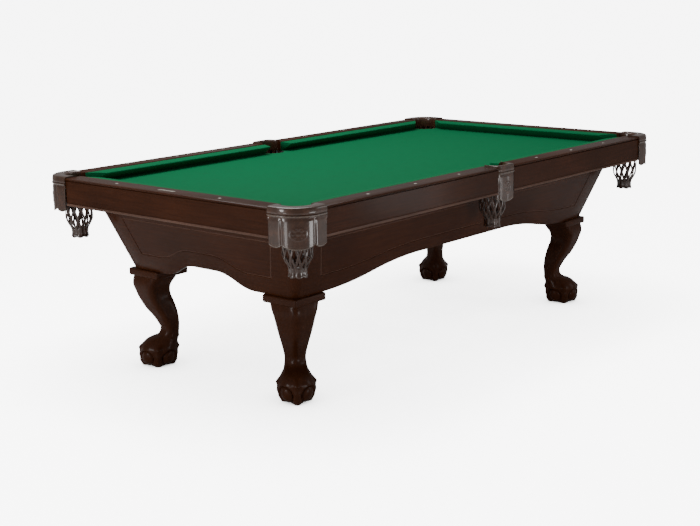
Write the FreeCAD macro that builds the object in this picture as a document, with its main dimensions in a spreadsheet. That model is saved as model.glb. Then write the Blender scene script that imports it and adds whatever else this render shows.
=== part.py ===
"""Eight-foot pool table: slate bed, cushioned rails, leather drop pockets, tapered cabinet, carved legs.

Millimetres. +X runs along the table from the head end to the foot end, +Y across it to the back side,
+Z up. The origin is on the floor under the middle of the table.
"""
import FreeCAD, Part
import math
import os
import re
import Sketcher

# ---------------------------------------------------------------- driving dimensions

DIMENSIONS = {
    # playing surface
    "play_length": 2235.0,        # nose to nose along the table
    "play_width": 1118.0,         # nose to nose across the table
    "bed_height": 757.0,          # floor to the cloth
    "cloth_thickness": 1.0,
    "slate_thickness": 25.0,
    "slate_margin": 82.0,         # slate beyond the cushion noses
    "backing_thickness": 19.0,
    "backing_width": 110.0,
    # cushions and rails, measured outwards from the nose and upwards from the bed
    "nose_height": 36.5,
    "cushion_depth": 53.0,        # nose to the wood
    "rubber_depth": 35.0,         # nose to the glued back of the rubber
    "cushion_toe": 46.0,          # nose to where the cushion meets the bed
    "cloth_top": 40.0,            # cloth above the bed where it meets the wood
    "nose_crown": 3.0,            # the nose's rounding: back along the top,
    "nose_round": 2.0,            # down the front
    "nose_under": 5.0,            # down to the underside
    "nose_under_back": 1.4,       # and back to it
    "rail_height": 43.0,
    "rail_top_width": 78.0,
    "rail_shoulder": 13.0,        # wood left beside the cushion at a pocket iron
    "rail_edge": 8.0,             # thickness of the overhanging edge
    "rail_edge_round": 4.0,
    # fascias
    "fascia_thickness": 20.0,
    "fascia_drop": 67.0,          # bed down to the fascia's lower edge
    "fascia_bead": 3.0,
    "bead_height": 7.0,
    "bead_round": 1.5,
    # pocket openings
    "corner_mouth": 127.0,
    "side_mouth": 140.0,
    "corner_cut_angle": 38.0,
    "side_cut_angle": 76.0,
    "corner_lip": 3.5,            # leather's edge where a corner drop passes the rail ends' crossing
    "corner_drop_offset": 25.5,   # pocket centre beyond each nose line
    "side_wall": 17.0,            # iron and leather outside a side drop
    "side_lip": 10.0,             # leather between a side drop and the rail ends
    "pocket_radius": 58.0,
    "slate_hole_clearance": 2.0,
    # pocket leather, irons and nets
    "leather_proud": 5.0,
    "leather_thickness": 5.0,
    "leather_rise": 49.0,         # collar top above the bed
    "leather_drop": 93.0,         # bed down to the shield's lower edge
    "leather_corner_round": 105.0,
    "leather_side_round": 18.0,
    "iron_gap": 3.0,              # leather between the pocket and the iron
    "corner_iron_width": 14.0,
    "side_iron_width": 4.5,
    "iron_bottom": 15.0,
    "iron_height": 18.0,
    "side_skirt_start": 40.0,     # side drop's centre out to the skirt
    # nets, measured down from the bed, or up from the lower rim
    "net_gap": 1.5,               # net inside the drop
    "net_wall": 4.0,
    "net_depth": 212.0,           # bed down to the net's lower rim
    "net_throat_drop": 67.0,
    "net_throat_inset": 2.5,
    "net_belly_drop": 97.0,
    "net_belly_height": 82.0,
    "net_shoulder_height": 58.0,
    "net_shoulder_inset": 4.0,
    "net_floor_height": 38.0,
    "net_neck_height": 24.0,
    "net_neck_flare": 2.0,
    "net_neck_radius": 32.0,
    "net_ring_radius": 35.5,
    # inlays
    "sight_radius": 5.5,
    "sight_depth": 2.0,
    "sight_setback": 93.7,
    "plate_length": 90.0,
    "plate_width": 15.0,
    # cabinet
    "cabinet_bottom": 414.0,
    "cabinet_net_gap": 10.5,      # side net to the cabinet's top edge
    "post_net_gap": 1.0,          # corner net to the corner post
    "cabinet_taper": 102.0,
    "post_radius": 42.0,
    "panel_thickness": 20.0,
    "side_arch_rise": 59.0,
    "side_arch_setback": 156.0,   # cabinet's foot corner to where the arch starts
    "side_arch_crown": 300.0,     # half width of the level crown
    "end_arch_rise": 57.0,
    "end_arch_setback": 201.0,
    "end_arch_crown": 60.0,
    # the frame routed into each panel
    "groove_width": 5.0,
    "groove_depth": 3.0,
    "groove_head": 75.0,          # cabinet's top edge down to the frame
    "groove_foot": 70.0,          # panel's lower edge up to the frame
    "side_groove_inset": 95.0,    # corner post to the frame
    "side_groove_rise": 41.0,
    "end_groove_inset": 76.0,
    "end_groove_rise": 50.0,
    "beam_width": 40.0,
    "beam_height": 84.0,
    "stringer_height": 60.0,
    "stringer_offset": 200.0,
    "block_size": 150.0,
    "block_height": 56.0,
    # legs
    "leg_setback": 76.0,          # cabinet's foot edges in to the leg's centre
    "cap_size": 162.0,
    "cap_thickness": 31.0,
    "cap_round": 10.0,
    "foot_offset": 17.0,          # foot centre outwards along the corner diagonal
    "foot_bottom": 4.0,
    # levelling feet
    "pad_radius": 25.0,
    "pad_thickness": 5.0,
    "stem_radius": 6.0,
    "stem_length": 44.0,
    "stem_clearance": 0.05,
    "insert_radius": 11.0,
    "insert_length": 30.0,
    "insert_start": 14.0,
    "recess_clearance": 3.0,
    "recess_depth": 6.0,
    "bore_clearance": 1.0,
    "bore_spare": 10.0,
    # fasteners
    "bolt_radius": 5.0,
    "bolt_length": 73.0,
    "bolt_clearance": 1.5,
    "bolt_head_radius": 9.0,
    "bolt_head_height": 7.0,
    "washer_radius": 14.0,
    "washer_thickness": 2.0,
    "bolt_spacing": 360.0,
    "bolt_edge": 16.0,
    "screw_radius": 4.0,
    "screw_length": 68.0,
    "screw_head_radius": 8.0,
    "screw_head_height": 5.0,
    "screw_inset": 15.0,
    "joint_screw_offset": 40.0,
    "end_screw_offset": 160.0,
    "pocket_bolt_radius": 4.0,
    "pocket_bolt_length": 50.0,
    "pocket_bolt_reach": 6.0,     # out of the rail's end into the iron
    "side_bolt_offset": 20.0,     # side drop's centre out to its bolts
    "leg_bolt_radius": 6.0,
    "leg_bolt_length": 190.0,
    "leg_bolt_depth": 90.0,
    "leg_nut_radius": 11.0,
    # cutting tools
    "tool_past": 10.0,            # how far a cutter runs past the work
    "tool_reach": 400.0,          # a cutter that clears everything on its side
}

# Sizes that follow from the driving ones, by name.
FORMULAS = {
    "rail_width": "cushion_depth + rail_top_width",
    "bed_bottom": "bed_height - cloth_thickness",
    "slate_bottom": "bed_bottom - slate_thickness",
    "cabinet_top": "slate_bottom - backing_thickness",
    "cabinet_height": "cabinet_top - cabinet_bottom",
    "slate_half_length": "play_length / 2 + slate_margin",
    "slate_half_width": "play_width / 2 + slate_margin",
    "slate_joint": "slate_half_length / 3",
    "corner_x": "play_length / 2 + corner_drop_offset",
    "corner_y": "play_width / 2 + corner_drop_offset",
    "side_drop_offset": "rail_width + leather_proud - side_wall - pocket_radius",
    "side_y": "play_width / 2 + side_drop_offset",
    "side_gap": "2 * (pocket_radius + side_lip)",
    "rail_half_length": "play_length / 2 + rail_width",
    "rail_half_width": "play_width / 2 + rail_width",
    "rail_end_inset": "pocket_radius / sqrt(2) - corner_lip",
    "long_end": "corner_x - rail_end_inset",
    "short_end": "corner_y - rail_end_inset",
    "corner_nose": "corner_mouth / sqrt(2)",
    "corner_run": "cushion_depth / tan(corner_cut_angle)",
    "side_run": "cushion_depth / tan(side_cut_angle)",
    "fascia_face": "rail_width - fascia_bead",
    "fascia_back": "fascia_face - fascia_thickness",
    "edge_bottom": "rail_height - rail_edge",
    "leather_half_length": "rail_half_length + leather_proud",
    "leather_half_width": "rail_half_width + leather_proud",
    "leather_top": "bed_height + leather_rise",
    "slate_hole": "pocket_radius + slate_hole_clearance",
    "net_radius": "pocket_radius - net_gap",
    "net_throat_radius": "net_radius - net_throat_inset",
    "sight_step_along": "play_length / 8",
    "sight_step_across": "play_width / 4",
    "side_bolt_centre": "play_length / 4",
    "cabinet_half_width": "side_y - net_radius - cabinet_net_gap",
    "post_y": "cabinet_half_width - post_radius",
    "post_net_distance": "net_radius + post_radius + post_net_gap",
    "post_x": "corner_x - sqrt(post_net_distance ^ 2 - (corner_y - post_y) ^ 2)",
    "cabinet_half_length": "post_x + post_radius",
    "cabinet_foot_length": "cabinet_half_length - cabinet_taper",
    "cabinet_foot_width": "cabinet_half_width - cabinet_taper",
    "groove_low": "cabinet_bottom + groove_foot",
    "groove_high": "cabinet_top - groove_head",
    "side_arch_start": "cabinet_foot_length - side_arch_setback",
    "end_arch_start": "cabinet_foot_width - end_arch_setback",
    "leg_inset_x": "cabinet_foot_length - leg_setback",
    "leg_inset_y": "cabinet_foot_width - leg_setback",
    "leg_top": "cabinet_bottom - cap_thickness",
    "beam_bottom": "cabinet_top - beam_height",
    "toe_inner": "cushion_toe + 1.4 * cloth_thickness",
    "under_inner": "nose_under_back + 1.2 * cloth_thickness",
    "under_height": "nose_height - nose_under + cloth_thickness / 2",
    "glue_bottom": "(toe_inner - rubber_depth) * under_height / (toe_inner - under_inner)",
}

doc = FreeCAD.newDocument("PoolTable")
sheet = doc.addObject("Spreadsheet::Sheet", "Sizes")
parts = []


def fill_sheet():
    """Write every driving dimension into the sheet, one row each, under its own alias."""
    for row, (alias, size) in enumerate(DIMENSIONS.items(), start=1):
        sheet.set(f"A{row}", alias.replace("_", " "))
        sheet.set(f"B{row}", str(size))
        sheet.setAlias(f"B{row}", alias)
    doc.recompute()


def full(text):
    """Write a size out in terms of the sheet's cells."""
    def swap(match):
        word = match.group(0)
        if word in FORMULAS:
            return "(" + full(FORMULAS[word]) + ")"
        if word in DIMENSIONS:
            return "Sizes." + word
        return word
    return re.sub(r"[a-z][a-z_]*", swap, text)


def value(text):
    """The present number of a size."""
    return float(sheet.evalExpression(full(text)))


def bind(item, prop, text):
    item.setExpression(prop, full(text))


def place(item, x="0", y="0", z="0", rotation=None):
    """Put an object at a point that follows the sheet, turned by a fixed rotation."""
    turn = rotation or FreeCAD.Rotation()
    item.Placement = FreeCAD.Placement(FreeCAD.Vector(value(x), value(y), value(z)), turn)
    for axis, text in zip("xyz", (x, y, z)):
        if text != "0":
            bind(item, "Placement.Base." + axis, text)
    return item


def about_z(angle):
    return FreeCAD.Rotation(FreeCAD.Vector(0, 0, 1), angle)


# ---------------------------------------------------------------- solids and booleans

def box(name, corner, size):
    item = doc.addObject("Part::Box", name)
    for prop, text in zip(("Length", "Width", "Height"), size):
        bind(item, prop, text)
    return place(item, *corner)


def cylinder(name, base, radius, height, rotation=None):
    item = doc.addObject("Part::Cylinder", name)
    bind(item, "Radius", radius)
    bind(item, "Height", height)
    return place(item, *base, rotation)


def fuse(name, *shapes):
    item = doc.addObject("Part::MultiFuse", name)
    item.Shapes = list(shapes)
    return item


def common(name, *shapes):
    item = doc.addObject("Part::MultiCommon", name)
    item.Shapes = list(shapes)
    return item


def cut(name, base, *tools):
    item = doc.addObject("Part::Cut", name)
    item.Base = base
    item.Tool = tools[0] if len(tools) == 1 else fuse(name + "_tools", *tools)
    return item


def group(name, solids):
    """Separate solids under one name."""
    item = doc.addObject("Part::Compound", name)
    item.Links = list(solids)
    return item


def keep(item, label):
    """Mark an object as a finished sub-part."""
    item.Label = label
    parts.append(item)
    return item


PLANES = {
    "XY": FreeCAD.Rotation(),
    "XZ": FreeCAD.Rotation(FreeCAD.Vector(1, 0, 0), 90),
    "YZ": FreeCAD.Rotation(FreeCAD.Vector(0, 1, 0), FreeCAD.Vector(0, 0, 1), FreeCAD.Vector(1, 0, 0), "ZXY"),
}


def outline(sketch, corners):
    """Add a closed loop through the corners, each fixed by the sheet.

    A corner is (x, y). With a third value, the side that leads to it is an arc whose centre has that x.
    """
    first = sketch.GeometryCount
    points = [FreeCAD.Vector(value(corner[0]), value(corner[1]), 0) for corner in corners]
    ends = []
    for index, corner in enumerate(corners):
        start, finish = points[index - 1], points[index]
        if len(corner) == 2:
            sketch.addGeometry(Part.LineSegment(start, finish), False)
            ends.append((1, 2))
            continue
        centre_x = value(corner[2])
        squares = start.x ** 2 + start.y ** 2 - finish.x ** 2 - finish.y ** 2
        centre_y = (squares - 2 * centre_x * (start.x - finish.x)) / (2 * (start.y - finish.y))
        centre = FreeCAD.Vector(centre_x, centre_y, 0)
        circle = Part.Circle(centre, FreeCAD.Vector(0, 0, 1), (start - centre).Length)
        begin = math.atan2(start.y - centre.y, start.x - centre.x)
        sweep = (math.atan2(finish.y - centre.y, finish.x - centre.x) - begin) % (2 * math.pi)
        if sweep <= math.pi:
            sketch.addGeometry(Part.ArcOfCircle(circle, begin, begin + sweep), False)
            ends.append((1, 2))
        else:
            sketch.addGeometry(Part.ArcOfCircle(circle, begin + sweep, begin + 2 * math.pi), False)
            ends.append((2, 1))
    for index, corner in enumerate(corners):
        after = (index + 1) % len(corners)
        here, there = first + index, first + after
        sketch.addConstraint(Sketcher.Constraint("Coincident", here, ends[index][1], there, ends[after][0]))
        fix_point(sketch, here, ends[index][1], corner[0], corner[1])
        if len(corner) == 3:
            fix_point(sketch, here, 3, corner[2], None)


def fix_point(sketch, geometry, end, x, y):
    """Hold one point of a sketch at distances from the origin that follow the sheet."""
    for kind, axis, text in (("DistanceX", -2, x), ("DistanceY", -1, y)):
        if text is None:
            continue
        if text == "0":
            sketch.addConstraint(Sketcher.Constraint("PointOnObject", geometry, end, axis))
            continue
        number = sketch.addConstraint(Sketcher.Constraint(kind, -1, 1, geometry, end, value(text)))
        bind(sketch, f"Constraints[{number}]", text)


def drawing(name, plane, *loops):
    sketch = doc.addObject("Sketcher::SketchObject", name)
    sketch.Placement = FreeCAD.Placement(FreeCAD.Vector(), PLANES[plane])
    for loop in loops:
        outline(sketch, loop)
    return sketch


def extrude(name, sketch, forward, backward="0"):
    item = doc.addObject("Part::Extrusion", name)
    item.Base = sketch
    item.DirMode = "Normal"
    item.Solid = True
    bind(item, "LengthFwd", forward)
    if backward != "0":
        bind(item, "LengthRev", backward)
    return item


def loft(name, sections, ruled):
    item = doc.addObject("Part::Loft", name)
    item.Sections = sections
    item.Solid = True
    item.Ruled = ruled
    return item


def turned(label, profile):
    """A turned piece: a body whose profile in the XZ plane is revolved about the vertical axis."""
    body = doc.addObject("PartDesign::Body", label)
    sketch = body.newObject("Sketcher::SketchObject", label + "_profile")
    plane = [item for item in body.Origin.OriginFeatures if item.Role == "XZ_Plane"][0]
    sketch.AttachmentSupport = (plane, [""])
    sketch.MapMode = "FlatFace"
    outline(sketch, profile)
    revolution = body.newObject("PartDesign::Revolution", label + "_turn")
    revolution.Profile = sketch
    revolution.ReferenceAxis = (sketch, ["V_Axis"])
    revolution.Angle = 360
    return body


# ---------------------------------------------------------------- where things repeat

SIDES = {"front": -1, "back": 1}
ENDS = {"head": -1, "foot": 1}
CORNERS = [(end, side, sx, sy) for end, sx in ENDS.items() for side, sy in SIDES.items()]


def signed(sign, text):
    return text if sign > 0 else f"-({text})"


def diagonal_turn(sx, sy):
    """The turn that points a piece's local +X out along a corner's diagonal."""
    return math.degrees(math.atan2(sy, sx))


def pocket_holes(name, radius, bottom, height):
    """Six round drops, with the corners beyond the corner drops cut away."""
    tools = []
    for end, side, sx, sy in CORNERS:
        x = signed(sx, "corner_x")
        y = signed(sy, "corner_y")
        tools.append(cylinder(f"{name}_{end}_{side}", (x, y, bottom), radius, height))
        low_x = "corner_x" if sx > 0 else "-(corner_x) - tool_reach"
        low_y = "corner_y" if sy > 0 else "-(corner_y) - tool_reach"
        tools.append(box(f"{name}_{end}_{side}_corner", (low_x, low_y, bottom),
                         ("tool_reach", "tool_reach", height)))
    for side, sy in SIDES.items():
        tools.append(cylinder(f"{name}_{side}", ("0", signed(sy, "side_y"), bottom), radius, height))
    return fuse(name, *tools)


# ---------------------------------------------------------------- fasteners and inlays

def rail_bolts():
    """Bolts that go up through the backing and the slate into the rails."""
    solids = []
    spots = []
    for side, sy in SIDES.items():
        for sx in (-1, 1):
            for step in (-1, 0, 1):
                x = signed(sx, f"side_bolt_centre + ({step}) * bolt_spacing")
                spots.append((x, signed(sy, "slate_half_width - bolt_edge")))
    for sx in (-1, 1):
        for step in (-1, 0, 1):
            spots.append((signed(sx, "slate_half_length - bolt_edge"), f"({step}) * bolt_spacing"))
    for number, (x, y) in enumerate(spots, start=1):
        name = f"rail_bolt_{number}"
        shank = cylinder(name + "_shank", (x, y, "cabinet_top - washer_thickness"), "bolt_radius",
                         "bolt_length + washer_thickness")
        washer = cylinder(name + "_washer", (x, y, "cabinet_top - washer_thickness"), "washer_radius",
                          "washer_thickness")
        head = cylinder(name + "_head", (x, y, "cabinet_top - washer_thickness - bolt_head_height"),
                        "bolt_head_radius", "bolt_head_height")
        solids.append(fuse(name, shank, washer, head))
    holes = [cylinder(f"rail_bolt_hole_{number}", (x, y, "cabinet_top"), "bolt_radius + bolt_clearance",
                      "bed_height - cabinet_top")
             for number, (x, y) in enumerate(spots, start=1)]
    return group("rail_bolt_group", solids), fuse("rail_bolt_holes", *holes)


def slate_screws():
    """Screws down through the slates and the backing into the cabinet's sides."""
    solids = []
    outward = ["slate_joint - joint_screw_offset", "slate_joint + joint_screw_offset",
               "slate_half_length - end_screw_offset"]
    spots = [signed(sx, x) for sx in (-1, 1) for x in outward]
    for side, sy in SIDES.items():
        for number, x in enumerate(spots, start=1):
            y = signed(sy, "cabinet_half_width - screw_inset")
            name = f"slate_screw_{side}_{number}"
            shank = cylinder(name + "_shank", (x, y, "bed_bottom - screw_length"), "screw_radius",
                             "screw_length")
            head = cylinder(name + "_head", (x, y, "bed_bottom - screw_head_height"), "screw_head_radius",
                            "screw_head_height")
            solids.append(fuse(name, shank, head))
    return group("slate_screw_group", solids)


def pocket_bolts():
    """Bolts from each pocket iron into the ends of its two rails."""
    solids = []
    z = "bed_height + iron_bottom + iron_height / 2"
    along_x = FreeCAD.Rotation(FreeCAD.Vector(0, 1, 0), 90)
    along_y = FreeCAD.Rotation(FreeCAD.Vector(1, 0, 0), -90)
    reach = "(pocket_radius + iron_gap + corner_iron_width / 2)"
    long_reach = f"sqrt({reach} ^ 2 - (corner_x - long_end) ^ 2)"
    short_reach = f"sqrt({reach} ^ 2 - (corner_y - short_end) ^ 2)"
    for end, side, sx, sy in CORNERS:
        start = "long_end - pocket_bolt_length" if sx > 0 else "-(long_end) - pocket_bolt_reach"
        y = signed(sy, f"corner_y + {long_reach}")
        solids.append(cylinder(f"pocket_bolt_{end}_{side}_long", (start, y, z), "pocket_bolt_radius",
                               "pocket_bolt_length + pocket_bolt_reach", along_x))
        start = "short_end - pocket_bolt_length" if sy > 0 else "-(short_end) - pocket_bolt_reach"
        x = signed(sx, f"corner_x + {short_reach}")
        solids.append(cylinder(f"pocket_bolt_{end}_{side}_short", (x, start, z), "pocket_bolt_radius",
                               "pocket_bolt_length + pocket_bolt_reach", along_y))
    inner = "sqrt((pocket_radius + iron_gap + side_iron_width / 2) ^ 2 - side_bolt_offset ^ 2)"
    for side, sy in SIDES.items():
        for sx in (-1, 1):
            start = inner if sx > 0 else "-(side_gap / 2) - pocket_bolt_length"
            y = signed(sy, "side_y + side_bolt_offset")
            solids.append(cylinder(f"pocket_bolt_{side}_{'foot' if sx > 0 else 'head'}", (start, y, z),
                                   "pocket_bolt_radius", f"side_gap / 2 + pocket_bolt_length - {inner}",
                                   along_x))
    return group("pocket_bolt_group", solids)


def sights():
    """Round inlays on the rail tops that mark the aiming points."""
    solids = []
    z = "bed_height + rail_height - sight_depth"
    for side, sy in SIDES.items():
        for step in (-3, -2, -1, 1, 2, 3):
            y = signed(sy, "play_width / 2 + sight_setback")
            solids.append(cylinder(f"sight_{side}_{step + 4}", (f"({step}) * sight_step_along", y, z),
                                   "sight_radius", "sight_depth"))
    for end, sx in ENDS.items():
        for step in (-1, 0, 1):
            if end == "head" and step == 0:
                continue
            x = signed(sx, "play_length / 2 + sight_setback")
            solids.append(cylinder(f"sight_{end}_{step + 2}", (x, f"({step}) * sight_step_across", z),
                                   "sight_radius", "sight_depth"))
    return group("sight_group", solids)


def name_plate():
    """A plain plate with rounded ends, let into the head rail between its sights."""
    x = "-(play_length / 2) - sight_setback"
    z = "bed_height + rail_height - sight_depth"
    bar = box("plate_bar", (x + " - plate_width / 2", "-(plate_length - plate_width) / 2", z),
              ("plate_width", "plate_length - plate_width", "sight_depth"))
    rounds = [cylinder(f"plate_end_{side}", (x, signed(sy, "(plate_length - plate_width) / 2"), z),
                       "plate_width / 2", "sight_depth") for side, sy in SIDES.items()]
    return fuse("plate", bar, *rounds)


# ---------------------------------------------------------------- bed

def bed(screws, bolt_holes):
    """Three slates on their wooden backing, and the cloth over them."""
    spans = {"head": ("-(slate_half_length)", "slate_half_length - slate_joint"),
             "middle": ("-(slate_joint)", "2 * slate_joint"),
             "foot": ("slate_joint", "slate_half_length - slate_joint")}
    drops = pocket_holes("slate_drops", "slate_hole", "cabinet_top - tool_past", "tool_reach")
    for name, (start, length) in spans.items():
        slab = box(f"slate_{name}_slab", (start, "-(slate_half_width)", "slate_bottom"),
                   (length, "2 * slate_half_width", "slate_thickness"))
        keep(cut(f"slate_{name}_cut", slab, drops, bolt_holes, screws), f"slate_{name}")
    frames = []
    opening = box("backing_opening", ("backing_width - slate_half_length", "backing_width - slate_half_width",
                                      "cabinet_top"),
                  ("2 * (slate_half_length - backing_width)", "2 * (slate_half_width - backing_width)",
                   "backing_thickness"))
    for name, (start, length) in spans.items():
        board = box(f"backing_{name}_board", (start, "-(slate_half_width)", "cabinet_top"),
                    (length, "2 * slate_half_width", "backing_thickness"))
        frames.append(cut(f"backing_{name}", board, opening, drops, bolt_holes, screws))
    keep(group("backing_group", frames), "slate_backing")
    sheet_of_cloth = box("bed_cloth_sheet", ("-(slate_half_length)", "-(slate_half_width)", "bed_bottom"),
                         ("2 * slate_half_length", "2 * slate_half_width", "cloth_thickness"))
    keep(cut("bed_cloth_cut", sheet_of_cloth, drops, bolt_holes), "bed_cloth")


# ---------------------------------------------------------------- rails, cushions and fascias

def rail_profiles():
    """Long bars of wood, rubber, cloth and fascia, drawn from the nose outwards and the bed upwards."""
    nose_top = ("nose_crown + 0.6 * cloth_thickness", "nose_height - 1.1 * cloth_thickness")
    nose_tip = ("1.2 * cloth_thickness", "nose_height - nose_round - 0.4 * cloth_thickness")
    nose_low = ("under_inner", "under_height")
    cloth_inner = [("toe_inner", "0"), nose_low, nose_tip, nose_top,
                   ("rubber_depth", "cloth_top - cloth_thickness"),
                   ("cushion_depth", "cloth_top - cloth_thickness")]
    cloth_outer = [("cushion_depth", "cloth_top"), ("rubber_depth", "cloth_top"),
                   ("nose_crown", "nose_height"), ("0", "nose_height - nose_round"),
                   ("nose_under_back", "nose_height - nose_under"), ("cushion_toe", "0")]
    rubber = [("rubber_depth", "glue_bottom"), nose_low, nose_tip, nose_top,
              ("rubber_depth", "cloth_top - cloth_thickness")]
    wood = [("toe_inner", "0"), ("rubber_depth", "glue_bottom"),
            ("rubber_depth", "cloth_top - cloth_thickness"),
            ("cushion_depth", "cloth_top - cloth_thickness"), ("cushion_depth", "rail_height"),
            ("rail_width - rail_edge_round", "rail_height"),
            ("rail_width", "rail_height - rail_edge_round", "rail_width - rail_edge_round"),
            ("rail_width - rail_edge_round", "edge_bottom", "rail_width - rail_edge_round"),
            ("fascia_back", "edge_bottom"), ("fascia_back", "0")]
    fascia = [("fascia_back", "-(fascia_drop)"), ("rail_width - bead_round", "-(fascia_drop)"),
              ("rail_width", "bead_round - fascia_drop"), ("rail_width", "bead_height - fascia_drop"),
              ("fascia_face", "bead_height + fascia_bead - fascia_drop"), ("fascia_face", "edge_bottom"),
              ("fascia_back", "edge_bottom")]
    reach = "play_length / 2 + rail_width"
    return {name: extrude(name + "_bar", drawing(name + "_profile", "YZ", loop), reach, reach)
            for name, loop in (("wood", wood), ("rubber", rubber), ("cloth", cloth_inner + cloth_outer),
                               ("fascia", fascia))}


def rail_plans():
    """Prisms that saw the bars to length: square at the irons, angled at the pocket mouths."""
    corner = [("{end} - corner_nose", "0"), ("{end} - corner_nose + corner_run", "cushion_depth"),
              ("{stop}", "cushion_depth + rail_shoulder"), ("{stop}", "rail_width + tool_past")]
    side = [("side_gap / 2", "rail_width + tool_past"), ("side_gap / 2", "side_drop_offset"),
            ("side_mouth / 2 - side_run", "cushion_depth"), ("side_mouth / 2", "0")]
    long_plan = [(x.format(end="play_length / 2", stop="long_end"), y) for x, y in corner] + side
    half_short = [(x.format(end="play_width / 2", stop="short_end"), y) for x, y in corner]
    mirrored = [(f"-({x})", y) for x, y in reversed(half_short)]
    plans = {"plus": long_plan, "minus": [(f"-({x})", y) for x, y in reversed(long_plan)],
             "short": half_short + mirrored}
    prisms = {}
    for name, loop in plans.items():
        prisms[name] = extrude(f"plan_{name}", drawing(f"plan_{name}_lines", "XY", loop),
                               "rail_height + tool_past", "fascia_drop + tool_past")
    return prisms


RAILS = {
    # name: (plan, turn about Z, nose line's x, nose line's y)
    "front_head": ("plus", 180, "0", "-(play_width / 2)"),
    "front_foot": ("minus", 180, "0", "-(play_width / 2)"),
    "back_head": ("minus", 0, "0", "play_width / 2"),
    "back_foot": ("plus", 0, "0", "play_width / 2"),
    "head": ("short", 90, "-(play_length / 2)", "0"),
    "foot": ("short", -90, "play_length / 2", "0"),
}


def rails(fittings):
    bars = rail_profiles()
    prisms = rail_plans()
    cloths = []
    for name, (plan, turn, x, y) in RAILS.items():
        blank = common(f"rail_{name}_blank", bars["wood"], prisms[plan])
        place(blank, x, y, "bed_height", about_z(turn))
        keep(cut(f"rail_{name}_drilled", blank, *fittings), f"rail_{name}")
    for name, (plan, turn, x, y) in RAILS.items():
        rubber = common(f"rubber_{name}", bars["rubber"], prisms[plan])
        keep(place(rubber, x, y, "bed_height", about_z(turn)), f"cushion_{name}")
        cloth = common(f"cloth_{name}", bars["cloth"], prisms[plan])
        cloths.append(place(cloth, x, y, "bed_height", about_z(turn)))
    keep(group("rail_cloth_group", cloths), "rail_cloths")
    for name, (plan, turn, x, y) in RAILS.items():
        board = common(f"fascia_{name}_board", bars["fascia"], prisms[plan])
        keep(place(board, x, y, "bed_height", about_z(turn)), f"fascia_{name}")


# ---------------------------------------------------------------- pockets

def rounded_block(name, corner, size, radius, edges):
    """A box with some of its upright edges rounded; edges are numbered as the box numbers them."""
    base = box(name + "_block", corner, size)
    doc.recompute()
    item = doc.addObject("Part::Fillet", name)
    item.Base = base
    item.Edges = [(edge, value(radius), value(radius)) for edge in edges]
    return item


def iron_ring(name, centre, width):
    outer = cylinder(name + "_outer", centre, f"pocket_radius + iron_gap + {width}", "iron_height")
    inner = cylinder(name + "_inner", centre, "pocket_radius + iron_gap", "iron_height")
    return cut(name, outer, inner)


def corner_pocket():
    """The corner iron and leather, drawn at the back foot corner, before their bolt holes."""
    iron_z = "bed_height + iron_bottom"
    limit = box("corner_iron_limit", ("long_end", "short_end", iron_z),
                ("tool_reach", "tool_reach", "iron_height"))
    iron = common("corner_iron", iron_ring("corner_iron_ring", ("corner_x", "corner_y", iron_z),
                                           "corner_iron_width"), limit)
    span_x = "leather_half_length - long_end"
    span_y = "leather_half_width - short_end"
    collar = rounded_block("corner_collar", ("long_end", "short_end", "bed_height"),
                           (span_x, span_y, "leather_rise"), "leather_corner_round", [7])
    drop = cylinder("corner_drop", ("corner_x", "corner_y", "bed_height"), "pocket_radius", "leather_rise")
    skirt = rounded_block("corner_skirt", ("long_end", "short_end", "bed_height - leather_drop"),
                          (span_x, span_y, "leather_drop"), "leather_corner_round", [7])
    hollow = rounded_block("corner_hollow", ("long_end - tool_past", "short_end - tool_past",
                                             "bed_height - leather_drop"),
                           (span_x + " - leather_thickness + tool_past",
                            span_y + " - leather_thickness + tool_past", "leather_drop"),
                           "leather_corner_round - leather_thickness", [7])
    shell = fuse("corner_leather_shell", cut("corner_collar_cut", collar, drop),
                 cut("corner_skirt_cut", skirt, hollow))
    return iron, cut("corner_leather", shell, iron)


def side_pocket():
    """The side iron and leather, drawn at the back side, before their bolt holes."""
    iron_z = "bed_height + iron_bottom"
    limit = box("side_iron_limit", ("-(side_gap / 2)", "side_y", iron_z),
                ("side_gap", "tool_reach", "iron_height"))
    iron = common("side_iron", iron_ring("side_iron_ring", ("0", "side_y", iron_z), "side_iron_width"), limit)
    span = "leather_half_width - side_y"
    collar = rounded_block("side_collar", ("-(side_gap / 2)", "side_y", "bed_height"),
                           ("side_gap", span, "leather_rise"), "leather_side_round", [3, 7])
    drop = cylinder("side_drop", ("0", "side_y", "bed_height"), "pocket_radius", "leather_rise")
    skirt = rounded_block("side_skirt", ("-(side_gap / 2)", "side_y + side_skirt_start",
                                         "bed_height - leather_drop"),
                          ("side_gap", span + " - side_skirt_start", "leather_drop"),
                          "leather_side_round", [3, 7])
    hollow = rounded_block("side_hollow", ("-(side_gap / 2) + leather_thickness",
                                           "side_y + side_skirt_start - tool_past", "bed_height - leather_drop"),
                           ("side_gap - 2 * leather_thickness",
                            span + " - side_skirt_start + tool_past - leather_thickness", "leather_drop"),
                           "leather_side_round - leather_thickness", [3, 7])
    shell = fuse("side_leather_shell", cut("side_collar_cut", collar, drop), cut("side_skirt_cut", skirt, hollow))
    return iron, cut("side_leather", shell, iron)


def mirrored(name, source, sx, sy):
    """A copy on another side of the table's middle planes."""
    item = source
    for sign, normal, tag in ((sx, FreeCAD.Vector(1, 0, 0), "x"), (sy, FreeCAD.Vector(0, 1, 0), "y")):
        if sign < 0:
            copy = doc.addObject("Part::Mirroring", f"{name}_over_{tag}")
            copy.Source = item
            copy.Normal = normal
            item = copy
    return item


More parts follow.
